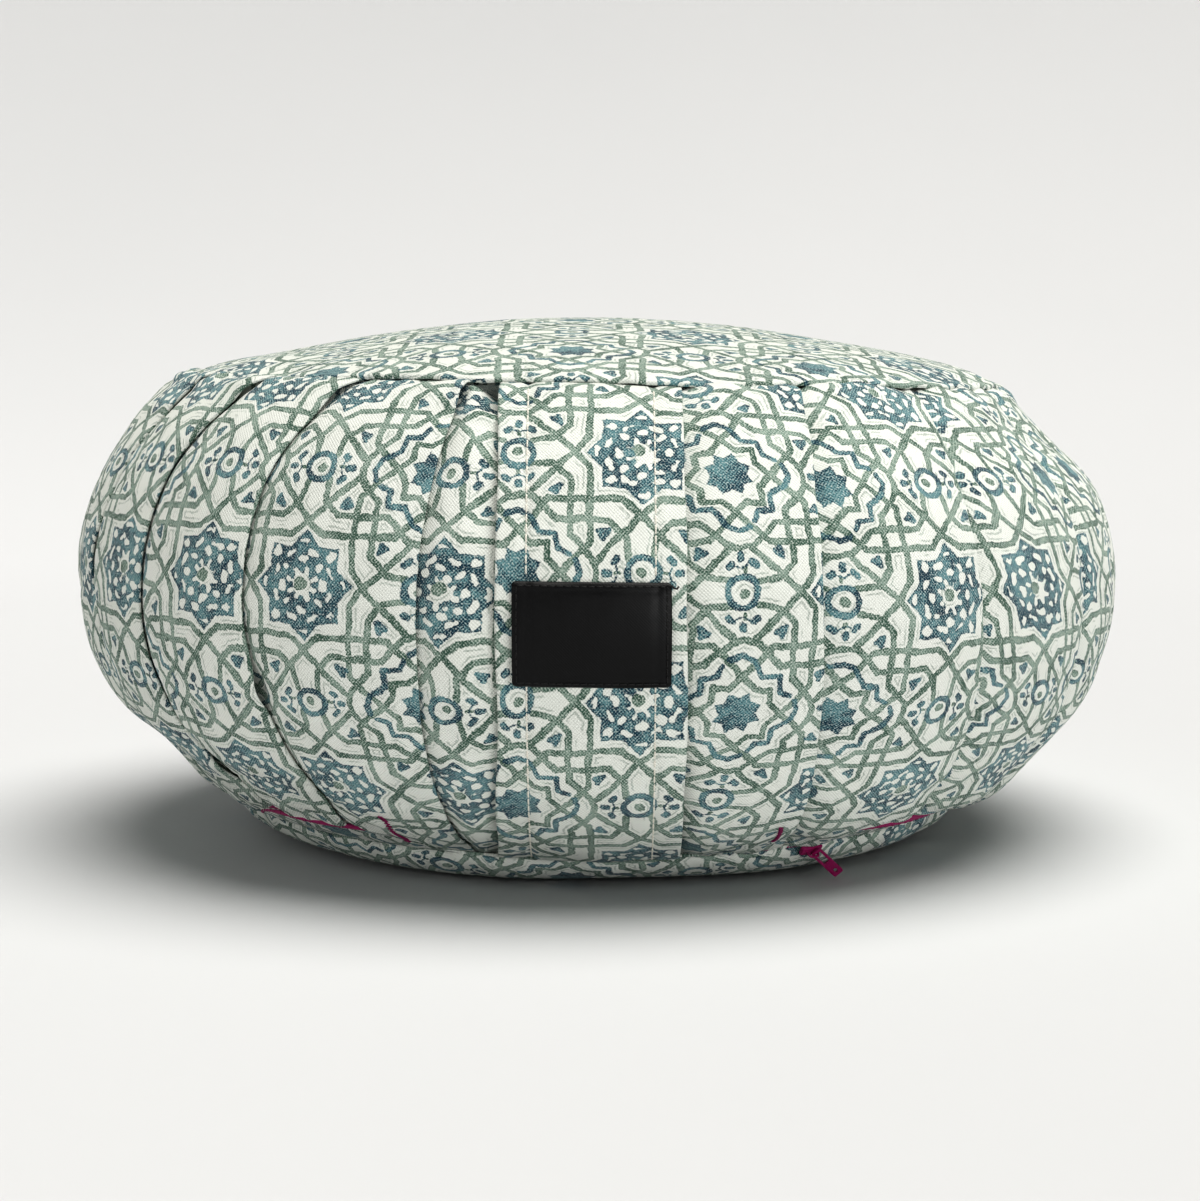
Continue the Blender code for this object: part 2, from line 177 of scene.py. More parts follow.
# The star's two edges in the eighth around its middle, each with its direction and its distance
STAR_EDGES = (((-0.478, 0.878, 0), 0.0650), ((0.960, 0.280, 0), 0.0648))
# How each block's hand-cut lines stray: noises of a scale, a reach and a seed, one after another
GREEN_STRAYS = ((1.3, 0.040, 3.1), (9.0, 0.024, 7.7), (30.0, 0.006, 1.9))
BLUE_STRAYS = ((0.9, 0.030, 12.3), (9.0, 0.024, 5.2))
INK_SOFTNESS = 0.0026  # how softly an edge of ink ends, in repeats


def smooth_step(value):
    value = np.clip(value, 0.0, 1.0)
    return value * value * (3 - 2 * value)


def bump_at(value, middle, reach):
    """1 at the middle, falling smoothly to 0 one reach away."""
    return 1 - smooth_step(np.abs(value - middle) / reach)


def falloff(distance, reach):
    """1 at no distance, and falling off smoothly, to about a third one reach away."""
    return math.exp(-((distance / reach) ** 2))


def curve_through(values, at):
    """The value at a level of the curve through the values at PLEAT_LEVELS."""
    total = 0.0
    for i, value in enumerate(values):
        weight = 1.0
        for j, level in enumerate(PLEAT_LEVELS):
            if i != j:
                weight = weight * (at - level) / (PLEAT_LEVELS[i] - level)
        total = total + weight * value
    return total


def base_seam_height(azimuth):
    nominal = GIRTH_HEIGHT - SIDE_CURVE * math.sin(BASE_SEAM_ANGLE)
    return nominal - FRONT_DROP * np.maximum(0.0, np.cos(np.radians(azimuth))) ** 2


def around(azimuth, radius, height, lean=1.0):
    turn = np.radians(azimuth)
    x = radius * np.sin(turn)
    y = -radius * np.cos(turn)
    z = height - TOP_TILT * x * lean
    return np.stack(np.broadcast_arrays(x, y, z), axis=-1) + CENTRING


def side_point(azimuth, level, lift=0.0):
    """A point of the side's outline, moved out along its normal by a lift."""
    angle = -BASE_SEAM_ANGLE + level * SIDE_ANGLE
    below = (GIRTH_HEIGHT - base_seam_height(azimuth)) / math.sin(BASE_SEAM_ANGLE)
    rise = np.where(angle > 0, SIDE_CURVE, below)
    radius = GIRTH_RADIUS - SIDE_CURVE + (SIDE_CURVE + lift) * np.cos(angle)
    return around(azimuth, radius, GIRTH_HEIGHT + (rise + lift) * np.sin(angle), level)


def outline_radius(level):
    angle = -BASE_SEAM_ANGLE + level * SIDE_ANGLE
    return GIRTH_RADIUS - SIDE_CURVE + SIDE_CURVE * math.cos(angle)


def top_height(share):
    """The top's crown, which turns down a little more to its seam."""
    from_seam = TOP_RADIUS * (1 - share)
    over_rim = CROWN * (1 - share * share) - 0.0010 * falloff(from_seam, 0.006)
    return TOP_SEAM_HEIGHT + RIM_OVER_SEAM + over_rim


def panel_azimuth(across, level):
    """The azimuth of a point on the front panel, by its distance along X from its middle."""
    return math.degrees(math.asin((PANEL_OFFSET + across) / outline_radius(level)))


def back_pleats():
    chance = random.Random(PLEAT_SEED)
    prints = random.Random(PRINT_SEED)
    first, last = RIGHT_PLEATS[-1], LEFT_PLEATS[0]
    pleats = []
    for number in range(1, BACK_PLEATS + 1):
        share = number / (BACK_PLEATS + 1)
        middle = first.high + share * (last.high + 360 - first.high)
        middle += chance.uniform(-1.3, 1.3)
        bow = chance.uniform(0.2, 1.0) * 3.0
        low = middle + chance.uniform(-1.0, 1.0)
        depth = chance.uniform(0.0018, 0.0030)
        mandala = middle + prints.uniform(2.0, 16.0)
        slant = prints.uniform(-3.0, 3.0)
        drop = prints.uniform(-0.004, 0.004)
        pleats.append(Pleat(middle + bow, low, middle, middle + bow, depth, mandala, slant, drop))
    return pleats


def turned(pleat):
    edges = (value + 360 for value in pleat[:4])
    return Pleat(*edges, pleat.depth, pleat.mandala + 360, pleat.slant, pleat.drop)


PLEATS = [*RIGHT_PLEATS, *back_pleats(), *(turned(pleat) for pleat in LEFT_PLEATS)]


def wavering(x, y, z, size):
    """Smooth noise from -1 to 1, with lumps of about this size."""
    return noise.noise(Vector((x, y, z)) / size)


# Meshes ------------------------------------------------------------------------------------


def new_piece(name, points, faces, maps=None):
    """An object from points and faces; maps holds a print coordinate for each point."""
    mesh = bpy.data.meshes.new(name)
    mesh.from_pydata([tuple(p) for p in points], [], faces)
    if maps is not None:
        layer = mesh.uv_layers.new(name=PRINT_MAP)
        corner = np.empty(len(mesh.loops), np.int32)
        mesh.loops.foreach_get("vertex_index", corner)
        layer.uv.foreach_set("vector", np.asarray(maps, np.float32)[corner].ravel())
    mesh.shade_smooth()
    mesh.validate()
    piece = bpy.data.objects.new(name, mesh)
    bpy.context.scene.collection.objects.link(piece)
    return piece


def lofted(name, rings, maps, poles, pole_maps):
    """A closed body through closed rings of equal length, with a fan to a pole at each end."""
    count = len(rings[0])
    points = np.concatenate([np.asarray(ring) for ring in rings] + [np.asarray(poles)])
    coords = np.concatenate([np.asarray(m) for m in maps] + [np.asarray(pole_maps)])
    faces = []
    for row in range(len(rings) - 1):
        a, b = row * count, (row + 1) * count
        for i in range(count):
            j = (i + 1) % count
            faces.append((a + i, a + j, b + j, b + i))
    last = (len(rings) - 1) * count
    under, over = len(rings) * count, len(rings) * count + 1
    for i in range(count):
        j = (i + 1) % count
        faces.append((j, i, under))
        faces.append((last + i, last + j, over))
    return new_piece(name, points, faces, coords)


def tube(path, radius, sides=6):
    """A round closed tube along a path of points."""
    path = [Vector(p) for p in path]
    points, faces = [], []
    side = None
    for i, point in enumerate(path):
        along = (path[min(i + 1, len(path) - 1)] - path[max(i - 1, 0)]).normalized()
        if side is None:
            side = along.orthogonal().normalized()
        side = (side - along * side.dot(along)).normalized()
        up = along.cross(side)
        for k in range(sides):
            turn = 2 * math.pi * k / sides
            points.append(point + (side * math.cos(turn) + up * math.sin(turn)) * radius)
    for i in range(len(path) - 1):
        for k in range(sides):
            j = (k + 1) % sides
            a, b = i * sides, (i + 1) * sides
            faces.append((a + k, a + j, b + j, b + k))
    points += [path[0], path[-1]]
    end = (len(path) - 1) * sides
    for k in range(sides):
        j = (k + 1) % sides
        faces.append((j, k, len(points) - 2))
        faces.append((end + k, end + j, len(points) - 1))
    return points, faces


def open_sheet(
    name, rows, maps, wrap=False, pole=None, pole_map=None, thickness=CLOTH_THICKNESS
):
    """A sheet of cloth through rows of points, with its face outwards and its thickness inwards."""
    count = len(rows[0])
    points = [tuple(p) for row in rows for p in row]
    coords = [tuple(m) for row in maps for m in row]
    faces = []
    for row in range(len(rows) - 1):
        a, b = row * count, (row + 1) * count
        for i in range(count if wrap else count - 1):
            j = (i + 1) % count
            faces.append((a + i, a + j, b + j, b + i))
    if pole is not None:
        points.append(tuple(pole))
        coords.append(tuple(pole_map))
        for i in range(count):
            faces.append(((i + 1) % count, i, len(points) - 1))
    piece = new_piece(name, points, faces, coords)
    if thickness:
        thicken = piece.modifiers.new("Thickness", "SOLIDIFY")
        thicken.thickness = thickness
        thicken.offset = -1
    return piece


def joined(name, bodies):
    """One object from many (points, faces) bodies."""
    points, faces = [], []
    for some_points, some_faces in bodies:
        start = len(points)
        points += some_points
        faces += [tuple(start + i for i in face) for face in some_faces]
    return new_piece(name, points, faces)


# Materials ---------------------------------------------------------------------------------


def linear(hex_colour):
    """An sRGB hex colour as linear light, with alpha."""
    channels = [int(hex_colour[i : i + 2], 16) / 255 for i in (1, 3, 5)]
    return (*(c / 12.92 if c <= 0.04045 else ((c + 0.055) / 1.055) ** 2.4 for c in channels), 1)


def add(tree, kind, inputs=(), output=0, **settings):
    """Adds a node: its settings by name, its sockets by place, as values or as links."""
    node = tree.nodes.new("ShaderNode" + kind)
    for name, value in settings.items():
        setattr(node, name, value)
    pairs = inputs.items() if isinstance(inputs, dict) else enumerate(inputs)
    for key, value in pairs:
        if isinstance(value, bpy.types.NodeSocket):
            tree.links.new(value, node.inputs[key])
        elif value is not None:
            node.inputs[key].default_value = value
    return node.outputs[output] if node.outputs else None


def new_material(name):
    material = bpy.data.materials.new(name)
    material.use_nodes = True
    material.node_tree.nodes.clear()
    return material, material.node_tree


def finished(material, sockets):
    """The material, closed with its surface shader and its output."""
    shader = add(material.node_tree, "BsdfPrincipled", sockets)
    add(material.node_tree, "OutputMaterial", {"Surface": shader})
    return material


def dress(piece, name, maker, settings):
    """Gives a piece its material, which is made the first time."""
    piece.data.materials.clear()
    piece.data.materials.append(material_for(name, maker, settings))


def material_for(name, maker, settings):
    return bpy.data.materials.get(name) or maker(settings)


def stroke_distance(tree, point, stroke):
    """How far a point is from a stroke's middle line."""
    start = (stroke.x1, stroke.y1, 0)
    run = Vector((stroke.x2 - stroke.x1, stroke.y2 - stroke.y1, 0))
    from_start = add(tree, "VectorMath", (point, start), operation="SUBTRACT")
    if run.length > 0:
        share = run / run.length_squared
        along = add(tree, "VectorMath", (from_start, tuple(share)), 1, operation="DOT_PRODUCT")
        along = add(tree, "Math", (along, 1.0), operation="MULTIPLY", use_clamp=True)
        inputs = (along, tuple(-run), from_start)
        from_start = add(tree, "VectorMath", inputs, operation="MULTIPLY_ADD")
    return add(tree, "VectorMath", (from_start,), 1, operation="LENGTH")


def joined_fields(tree, *fields):
    """The nearest of several fields, so that their shapes are printed together."""
    nearest = fields[0]
    for field in fields[1:]:
        nearest = add(tree, "Math", (nearest, field), operation="MINIMUM")
    return nearest


def strokes_field(tree, point, strokes):
    """Distance to the nearest stroke's edge, negative inside it."""
    edges = []
    for stroke in strokes:
        edge = stroke_distance(tree, point, stroke)
        edges.append(add(tree, "Math", (edge, stroke.half), operation="SUBTRACT"))
    return joined_fields(tree, *edges)


def from_mandala(tree, repeats):
    """Signed coordinates from the nearest mandala's middle, from -1/2 to 1/2."""
    moved = add(tree, "VectorMath", (repeats, (0.5, 0.5, 0)), operation="ADD")
    wrapped = add(tree, "VectorMath", (moved,), operation="FRACTION")
    return add(tree, "VectorMath", (wrapped, (0.5, 0.5, 0)), operation="SUBTRACT")


def mirrored_eighth(tree, signed):
    """The same point in the eighth of a repeat with 0 <= y <= x."""
    plain = add(tree, "VectorMath", (signed,), operation="ABSOLUTE")
    x, y, _ = add(tree, "SeparateXYZ", (plain,)).node.outputs
    larger = add(tree, "Math", (x, y), operation="MAXIMUM")
    smaller = add(tree, "Math", (x, y), operation="MINIMUM")
    return add(tree, "CombineXYZ", (larger, smaller))


def turned_quarter(tree, repeats):
    """Coordinates around the nearest star: x to the right of the nearest axis, y out along it."""
    wrapped = add(tree, "VectorMath", (repeats,), operation="FRACTION")
    signed = add(tree, "VectorMath", (wrapped, (0.5, 0.5, 0)), operation="SUBTRACT")
    x, y, _ = add(tree, "SeparateXYZ", (signed,)).node.outputs
    plain_x = add(tree, "Math", (x,), operation="ABSOLUTE")
    plain_y = add(tree, "Math", (y,), operation="ABSOLUTE")
    outward = add(tree, "Math", (plain_x, plain_y), operation="MAXIMUM")
    sign_x = add(tree, "Math", (x,), operation="SIGN")
    sign_y = add(tree, "Math", (y,), operation="SIGN")
    beside_y = add(tree, "Math", (x, sign_y), operation="MULTIPLY")
    beside_x = add(tree, "Math", (y, sign_x), operation="MULTIPLY")
    beside_x = add(tree, "Math", (beside_x, -1.0), operation="MULTIPLY")
    wide = add(tree, "Math", (plain_x, plain_y), operation="GREATER_THAN")
    beside = add(tree, "Mix", {0: wide, 2: beside_y, 3: beside_x}, data_type="FLOAT")
    return add(tree, "CombineXYZ", (beside, outward))


def shaken(tree, repeats, strays):
    """The coordinates moved about by noises, for a hand-cut and hand-stamped block."""
    for scale, reach, seed in strays:
        moved = add(tree, "VectorMath", (repeats, (seed, seed * 1.7, 0)), operation="ADD")
        settings = {"Vector": moved, "Scale": scale, "Detail": 1.0}
        cloud = add(tree, "TexNoise", settings, 1, noise_dimensions="2D")
        centred = add(tree, "VectorMath", (cloud, (0.5, 0.5, 0.5)), operation="SUBTRACT")
        inputs = (centred, (reach, reach, 0), repeats)
        repeats = add(tree, "VectorMath", inputs, operation="MULTIPLY_ADD")
    return repeats


def soft_edge(tree, field, softness, inside=0.0):
    """1 where the field is below `inside`, 0 above it."""
    inputs = (field, inside - softness, inside + softness, 1.0, 0.0)
    return add(tree, "MapRange", inputs, interpolation_type="SMOOTHSTEP")


def block_print(tree, repeats):
    """The distances from the blue and the green shapes of the star-and-mandala block print."""
    rough = shaken(tree, repeats, GREEN_STRAYS)
    signed = from_mandala(tree, rough)
    eighth = mirrored_eighth(tree, signed)
    green = strokes_field(tree, eighth, STRANDS)

    stamped = shaken(tree, repeats, BLUE_STRAYS)
    blue_eighth = mirrored_eighth(tree, from_mandala(tree, stamped))
    sprigs = strokes_field(tree, blue_eighth, SPRIGS)
    leaves = strokes_field(tree, blue_eighth, LEAVES)
    # Dye fills the leaves left bare in a mandala here and there
    settings = {"Vector": repeats, "Scale": 17.0, "Detail": 1.0}
    filled = add(tree, "TexNoise", settings, noise_dimensions="2D")
    filled = add(tree, "MapRange", (filled, 0.3, 0.7, -0.004, 0.012))
    leaves = add(tree, "Math", (leaves, filled), operation="ADD")
    to_ring = add(tree, "VectorMath", (blue_eighth, (0.5, 0, 0)), 1, operation="DISTANCE")
    hoop = add(tree, "Math", (to_ring, RING_RADIUS), operation="SUBTRACT")
    hoop = add(tree, "Math", (hoop,), operation="ABSOLUTE")
    hoop = add(tree, "Math", (hoop, RING_HALF), operation="SUBTRACT")

    # The mandala: a square and a diamond laid together, with its leaves left bare
    half = math.sqrt(0.5)
    sums = add(tree, "VectorMath", (blue_eighth, (half, half, 0)), 1, operation="DOT_PRODUCT")
    diamond = add(tree, "Math", (sums, MANDALA_TIP * half), operation="SUBTRACT")
    square = add(tree, "VectorMath", (blue_eighth, (1, 0, 0)), 1, operation="DOT_PRODUCT")
    square = add(tree, "Math", (square, MANDALA_SQUARE), operation="SUBTRACT")
    mandala = add(tree, "Math", (diamond, square), operation="MINIMUM")
    holes = add(tree, "Math", (leaves, -1.0), operation="MULTIPLY")
    mandala = add(tree, "Math", (mandala, holes), operation="MAXIMUM")

    wavy = strokes_field(tree, turned_quarter(tree, stamped), WAVY_RING)
    folded = add(tree, "VectorMath", (blue_eighth, (0.5, 0.5, 0)), operation="SUBTRACT")
    folded = add(tree, "VectorMath", (folded,), operation="ABSOLUTE")
    # The star: notches on its axes and diagonals, tips between them
    edges = []
    for direction, away in STAR_EDGES:
        edge = add(tree, "VectorMath", (folded, direction), 1, operation="DOT_PRODUCT")
        edges.append(add(tree, "Math", (edge, away), operation="SUBTRACT"))
    star = add(tree, "Math", edges, operation="MAXIMUM")
    blue = joined_fields(tree, mandala, sprigs, hoop, wavy, star)

    # The green block's own dots: a mandala's heart and a ring's eye, and a sprig's stem
    heart = add(tree, "VectorMath", (signed, (-0.012, 0.008, 0)), 1, operation="DISTANCE")
    heart = add(tree, "Math", (heart, HEART_RADIUS), operation="SUBTRACT")
    eye = add(tree, "VectorMath", (eighth, (0.5, 0, 0)), 1, operation="DISTANCE")
    inside_ring = add(tree, "Math", (eye, RING_RADIUS), operation="LESS_THAN")
    eye = add(tree, "Math", (eye, RING_EYE), operation="SUBTRACT")
    stem = strokes_field(tree, eighth, (STEM,))
    outside = add(tree, "Math", (inside_ring, 0.2, green), operation="MULTIPLY_ADD")
    green = joined_fields(tree, outside, heart, eye, stem)

    # Both blocks print raggedly, as the threads take up the dye
    settings = {"Vector": repeats, "Scale": 75.0, "Detail": 2.0}
    ragged = add(tree, "TexNoise", settings, noise_dimensions="2D")
    ragged = add(tree, "Math", (ragged, 0.5), operation="SUBTRACT")
    ragged = add(tree, "Math", (ragged, 0.013), operation="MULTIPLY")
    blue = add(tree, "Math", (blue, ragged), operation="ADD")
    green = add(tree, "Math", (green, ragged), operation="ADD")
    return blue, green


def printed_cotton(settings):
    """Plain-weave cotton, stamped by hand with two dyes: matt, with a fine grain of threads whose
    shade and highlights are partly painted into its colour, and ink that lies thicker in some
    places than in others."""
    material, tree = new_material(COTTON)
    repeats = add(tree, "UVMap", (), uv_map=PRINT_MAP)
    blue_field, green_field = block_print(tree, repeats)
    blue = soft_edge(tree, blue_field, INK_SOFTNESS)
    green = soft_edge(tree, green_field, INK_SOFTNESS)

    # Over one thread and under the next, so a whole wave is two threads wide
    threads = math.pi * settings.repeat_across / settings.thread_spacing
    picks = math.pi * settings.repeat_along / settings.thread_spacing
    phase = add(tree, "VectorMath", (repeats, (threads, picks, 0)), operation="MULTIPLY")
    phase = add(tree, "VectorMath", (phase,), operation="SINE")
    warp, weft, _ = add(tree, "SeparateXYZ", (phase,)).node.outputs
    weave = add(tree, "Math", (warp, weft), operation="MULTIPLY")

    # Duller patches, slubs in the threads, blots in the dye, and where a hairline of it shows
    clouds = []
    for scale, detail, roughness in ((6, 4, 0.65), (130, 1, 0.5), (26, 2, 0.5), (11, 1, 0.5)):
        inputs = {"Vector": repeats, "Scale": scale, "Detail": detail, "Roughness": roughness}
        clouds.append(add(tree, "TexNoise", inputs, noise_dimensions="2D"))
    patches, slubs, blots, here = clouds
    shades = {0: patches, 6: linear(settings.cloth_light), 7: linear(settings.cloth_dark)}
    cloth = add(tree, "Mix", shades, 2, data_type="RGBA")
    mottle = add(tree, "MapRange", (patches, 0.36, 0.66, -0.15, 0.75))
    mottle = add(tree, "Math", (slubs, 1.1, mottle), operation="MULTIPLY_ADD")
    mottle = add(tree, "Math", (blots, 1.5, mottle), operation="MULTIPLY_ADD")
    mottle = add(tree, "Math", (mottle, -1.25), operation="ADD")
    inks = []
    for field, thin, thick in (
        (blue_field, settings.blue_thin, settings.blue_thick),
        (green_field, settings.green_thin, settings.green_thick),
    ):
        # The block squeezes its dye outwards, so it lies thickest along the edges
        pooled = add(tree, "MapRange", (field, -0.0085, -0.0035, 0.0, 0.35))
        depth = add(tree, "Math", (mottle, pooled), operation="ADD")
        depth = add(tree, "Math", (weave, -0.50, depth), operation="MULTIPLY_ADD", use_clamp=True)
        shades = {0: depth, 6: linear(thin), 7: linear(thick)}
        inks.append(add(tree, "Mix", shades, 2, data_type="RGBA"))
    blue_ink, green_ink = inks
    # The crowns of the threads are the first places to lose their dye
    bare = add(tree, "Math", (weave, -0.07, slubs), operation="MULTIPLY_ADD")
    worn = add(tree, "MapRange", (bare, 0.26, 0.50, 0.52, 1.0))
    # A hairline of dye beside the strands, where the block's edge touched the cloth
    beside = add(tree, "Math", (green_field, 0.0150), operation="SUBTRACT")
    beside = add(tree, "Math", (beside,), operation="ABSOLUTE")
    hairline = soft_edge(tree, beside, 0.0024, 0.0034)
    broken = add(tree, "MapRange", (here, 0.46, 0.58, 0.0, 0.42))
    hairline = add(tree, "Math", (hairline, broken), operation="MULTIPLY")
    green = add(tree, "Math", (green, worn), operation="MULTIPLY")
    green = add(tree, "Math", (green, hairline), operation="MAXIMUM")
    blue = add(tree, "Math", (blue, worn), operation="MULTIPLY")

    colour = add(tree, "Mix", {0: green, 6: cloth, 7: green_ink}, 2, data_type="RGBA")
    colour = add(tree, "Mix", {0: blue, 6: colour, 7: blue_ink}, 2, data_type="RGBA")
    # Painted shade and highlight of the weave: the colour is darker where the threads dip and
    # lighter on their crowns
    painted_weave_shade = add(tree, "MapRange", (weave, -1.0, 1.0, 0.86, 1.06))
    colour = add(tree, "VectorMath", (colour, painted_weave_shade), operation="MULTIPLY")

    relief = add(tree, "Math", (slubs, 0.8, weave), operation="MULTIPLY_ADD")
    bump = add(tree, "Bump", {"Strength": 0.45, "Distance": 0.00020, "Height": relief})
    return finished(
        material,
        {
            "Base Color": colour,
            "Roughness": 0.92,
            "Specular IOR Level": 0.25,
            "Sheen Weight": 0.12,
            "Sheen Roughness": 0.5,
            "Normal": bump,
        },
    )


def label_satin(settings):
    """Polyester satin, woven tight: near-black with a soft sheen across fine ribs."""
    material, tree = new_material("black woven satin")
    where = add(tree, "TexCoord", (), 3)
    ribs = add(tree, "VectorMath", (where, (7000.0, 0, 7000.0)), 1, operation="DOT_PRODUCT")
    ribs = add(tree, "Math", (ribs,), operation="SINE")
    cloud = add(tree, "TexNoise", {"Vector": where, "Scale": 900.0, "Detail": 2.0})
    tone = add(tree, "Math", (ribs, 0.25, cloud), operation="MULTIPLY_ADD")
    shades = {0: tone, 6: linear("#050506"), 7: linear("#0e0f12")}
    colour = add(tree, "Mix", shades, 2, data_type="RGBA")
    rough = add(tree, "MapRange", (cloud, 0.2, 0.8, 0.36, 0.50))
    bump = add(tree, "Bump", {"Strength": 0.25, "Distance": 0.0001, "Height": tone})
    return finished(
        material,
        {
            "Base Color": colour,
            "Roughness": rough,
            "Specular IOR Level": 0.35,
            "Sheen Weight": 0.06,
            "Sheen Roughness": 0.4,
            "Normal": bump,
        },
    )


def spun_thread(name, light, dark, roughness):
    """Twisted thread: its twist shows as fine slanting light and dark."""
    material, tree = new_material(name)
    where = add(tree, "TexCoord", (), 3)
    twist = add(tree, "VectorMath", (where, (9000.0, 0, 9000.0)), 1, operation="DOT_PRODUCT")
    twist = add(tree, "Math", (twist,), operation="SINE")
    tone = add(tree, "MapRange", (twist, -1.0, 1.0, 0.0, 1.0))
    colour = add(tree, "Mix", {0: tone, 6: linear(light), 7: linear(dark)}, 2, data_type="RGBA")
    bump = add(tree, "Bump", {"Strength": 0.3, "Distance": 0.0001, "Height": tone})
    sockets = {"Base Color": colour, "Roughness": roughness, "Normal": bump}
    return finished(material, sockets)


def white_thread(settings):
    return spun_thread("spun cotton thread, undyed", "#f4f2ea", "#d9d5ca", 0.8)


def black_thread(settings):
    return spun_thread("spun polyester thread, black", "#2b2b2c", "#111111", 0.6)


def magenta_thread(settings):
    return spun_thread("spun polyester thread, magenta", "#a83a78", "#7c1d50", 0.55)


def zip_coil(settings):
    """Nylon monofilament wound into a coil: smooth, with small bright highlights."""
    return spun_thread("nylon zip coil", settings.zip_light, settings.zip_dark, 0.38)


def zip_tape_cloth(settings):
    """Polyester tape, woven in a fine herringbone: a little sheen on a matt ground."""
    material, tree = new_material("woven polyester zip tape")
    where = add(tree, "TexCoord", (), 3)
    ribs = add(tree, "VectorMath", (where, (5200.0, 5200.0, 9000.0)), 1, operation="DOT_PRODUCT")
    ribs = add(tree, "Math", (ribs,), operation="SINE")
    cloud = add(tree, "TexNoise", {"Vector": where, "Scale": 600.0, "Detail": 2.0})
    tone = add(tree, "Math", (ribs, 0.3, cloud), operation="MULTIPLY_ADD")
    shades = {0: tone, 6: linear(settings.zip_dark), 7: linear(settings.zip_light)}
    colour = add(tree, "Mix", shades, 2, data_type="RGBA")
    bump = add(tree, "Bump", {"Strength": 0.4, "Distance": 0.0001, "Height": tone})
    sockets = {"Base Color": colour, "Roughness": 0.7, "Sheen Weight": 0.2, "Normal": bump}
    return finished(material, sockets)


def backdrop_paper(settings):
    """Seamless backdrop paper: matt, with a faint unevenness."""
    material, tree = new_material("matt backdrop paper")
    where = add(tree, "TexCoord", (), 3)
    cloud = add(tree, "TexNoise", {"Vector": where, "Scale": 1.5, "Detail": 2.0})
    shades = {0: cloud, 6: linear(settings.paper), 7: linear(settings.paper_dull)}
    colour = add(tree, "Mix", shades, 2, data_type="RGBA")
    sockets = {"Base Color": colour, "Roughness": 0.95, "Specular IOR Level": 0.1}
    return finished(material, sockets)


def enamelled_zinc(settings):
    """Die-cast zinc under baked enamel: an even coat with a satin gloss and tiny orange peel."""
    material, tree = new_material("enamelled zinc alloy")
    where = add(tree, "TexCoord", (), 3)
    peel = add(tree, "TexNoise", {"Vector": where, "Scale": 1500.0, "Detail": 2.0})
    shades = {0: peel, 6: linear(settings.zip_light), 7: linear(settings.zip_dark)}
    colour = add(tree, "Mix", shades, 2, data_type="RGBA")
    rough = add(tree, "MapRange", (peel, 0.3, 0.7, 0.30, 0.42))
    bump = add(tree, "Bump", {"Strength": 0.1, "Distance": 0.0001, "Height": peel})
    sockets = {"Base Color": colour, "Roughness": rough, "Coat Weight": 0.3, "Normal": bump}
    return finished(material, sockets)


# Sizes and colours -------------------------------------------------------------------------


class ZafuCloth(bpy.types.PropertyGroup):
    repeat_across: bpy.props.FloatProperty(
        name="Repeat across",
        description="Width of one repeat of the print",
        default=0.075,
        min=0.02,
        unit="LENGTH",
    )
    repeat_along: bpy.props.FloatProperty(
        name="Repeat along",
        description="Height of one repeat of the print",
        default=0.070,
        min=0.02,
        unit="LENGTH",
    )
    thread_spacing: bpy.props.FloatProperty(
        name="Thread spacing",
        description="Drawn a little coarser than the real 0.47 mm",
        default=0.00054,
        min=0.0002,
        precision=5,
        unit="LENGTH",
    )
    cloth_light: bpy.props.StringProperty(
        name="Cloth, light", description="Undyed cotton, as sRGB hex", default="#f2f5ef"
    )
    cloth_dark: bpy.props.StringProperty(
        name="Cloth, dark", description="Undyed cotton where it is duller", default="#e5e8e2"
    )
    blue_thin: bpy.props.StringProperty(
        name="Blue, thin", description="Blue dye where it lies thin", default="#739a9f"
    )
    blue_thick: bpy.props.StringProperty(
        name="Blue, thick", description="Blue dye where it lies thick", default="#1f4152"
    )
    green_thin: bpy.props.StringProperty(
        name="Green, thin", description="Sage dye where it lies thin", default="#99aca1"
    )
    green_thick: bpy.props.StringProperty(
        name="Green, thick", description="Sage dye where it lies thick", default="#4b685b"
    )


class ZafuTrim(bpy.types.PropertyGroup):
    stitch_length: bpy.props.FloatProperty(
        name="Stitch", description="Length of one topstitch", default=0.0030, unit="LENGTH"
    )
    thread_radius: bpy.props.FloatProperty(
        name="Thread radius",
        description="Radius of the sewing thread",
        default=0.00030,
        precision=5,
        unit="LENGTH",
    )
    zip_light: bpy.props.StringProperty(
        name="Zip, light", description="Magenta of the zip, as sRGB hex", default="#a0246a"
    )
    zip_dark: bpy.props.StringProperty(
        name="Zip, dark", description="Darker magenta of the zip", default="#8a1a58"
    )


class ZafuStudio(bpy.types.PropertyGroup):
    distance: bpy.props.FloatProperty(
        name="Distance", description="Camera to the cushion's middle", default=0.900, unit="LENGTH"
    )
    eye_height: bpy.props.FloatProperty(
        name="Eye height", description="Camera over the floor", default=0.1662, unit="LENGTH"
    )
    lens: bpy.props.FloatProperty(
        name="Lens", description="Focal length", default=76.0, subtype="DISTANCE_CAMERA"
    )
    pitch: bpy.props.FloatProperty(
        name="Pitch",
        description="How far the camera looks down",
        default=math.radians(5.549),
        subtype="ANGLE",
    )
    paper: bpy.props.StringProperty(
        name="Paper", description="Colour of the backdrop paper", default="#dbdcde"
    )
    paper_dull: bpy.props.StringProperty(
        name="Paper, dull", description="Backdrop paper where it is duller", default="#d8d9db"
    )


# Pieces ------------------------------------------------------------------------------------

# The pleated side
UNDER_PANEL = 0.0026  # how deep the side's ends lie under the front panel
PANEL_OVERLAP = 0.007
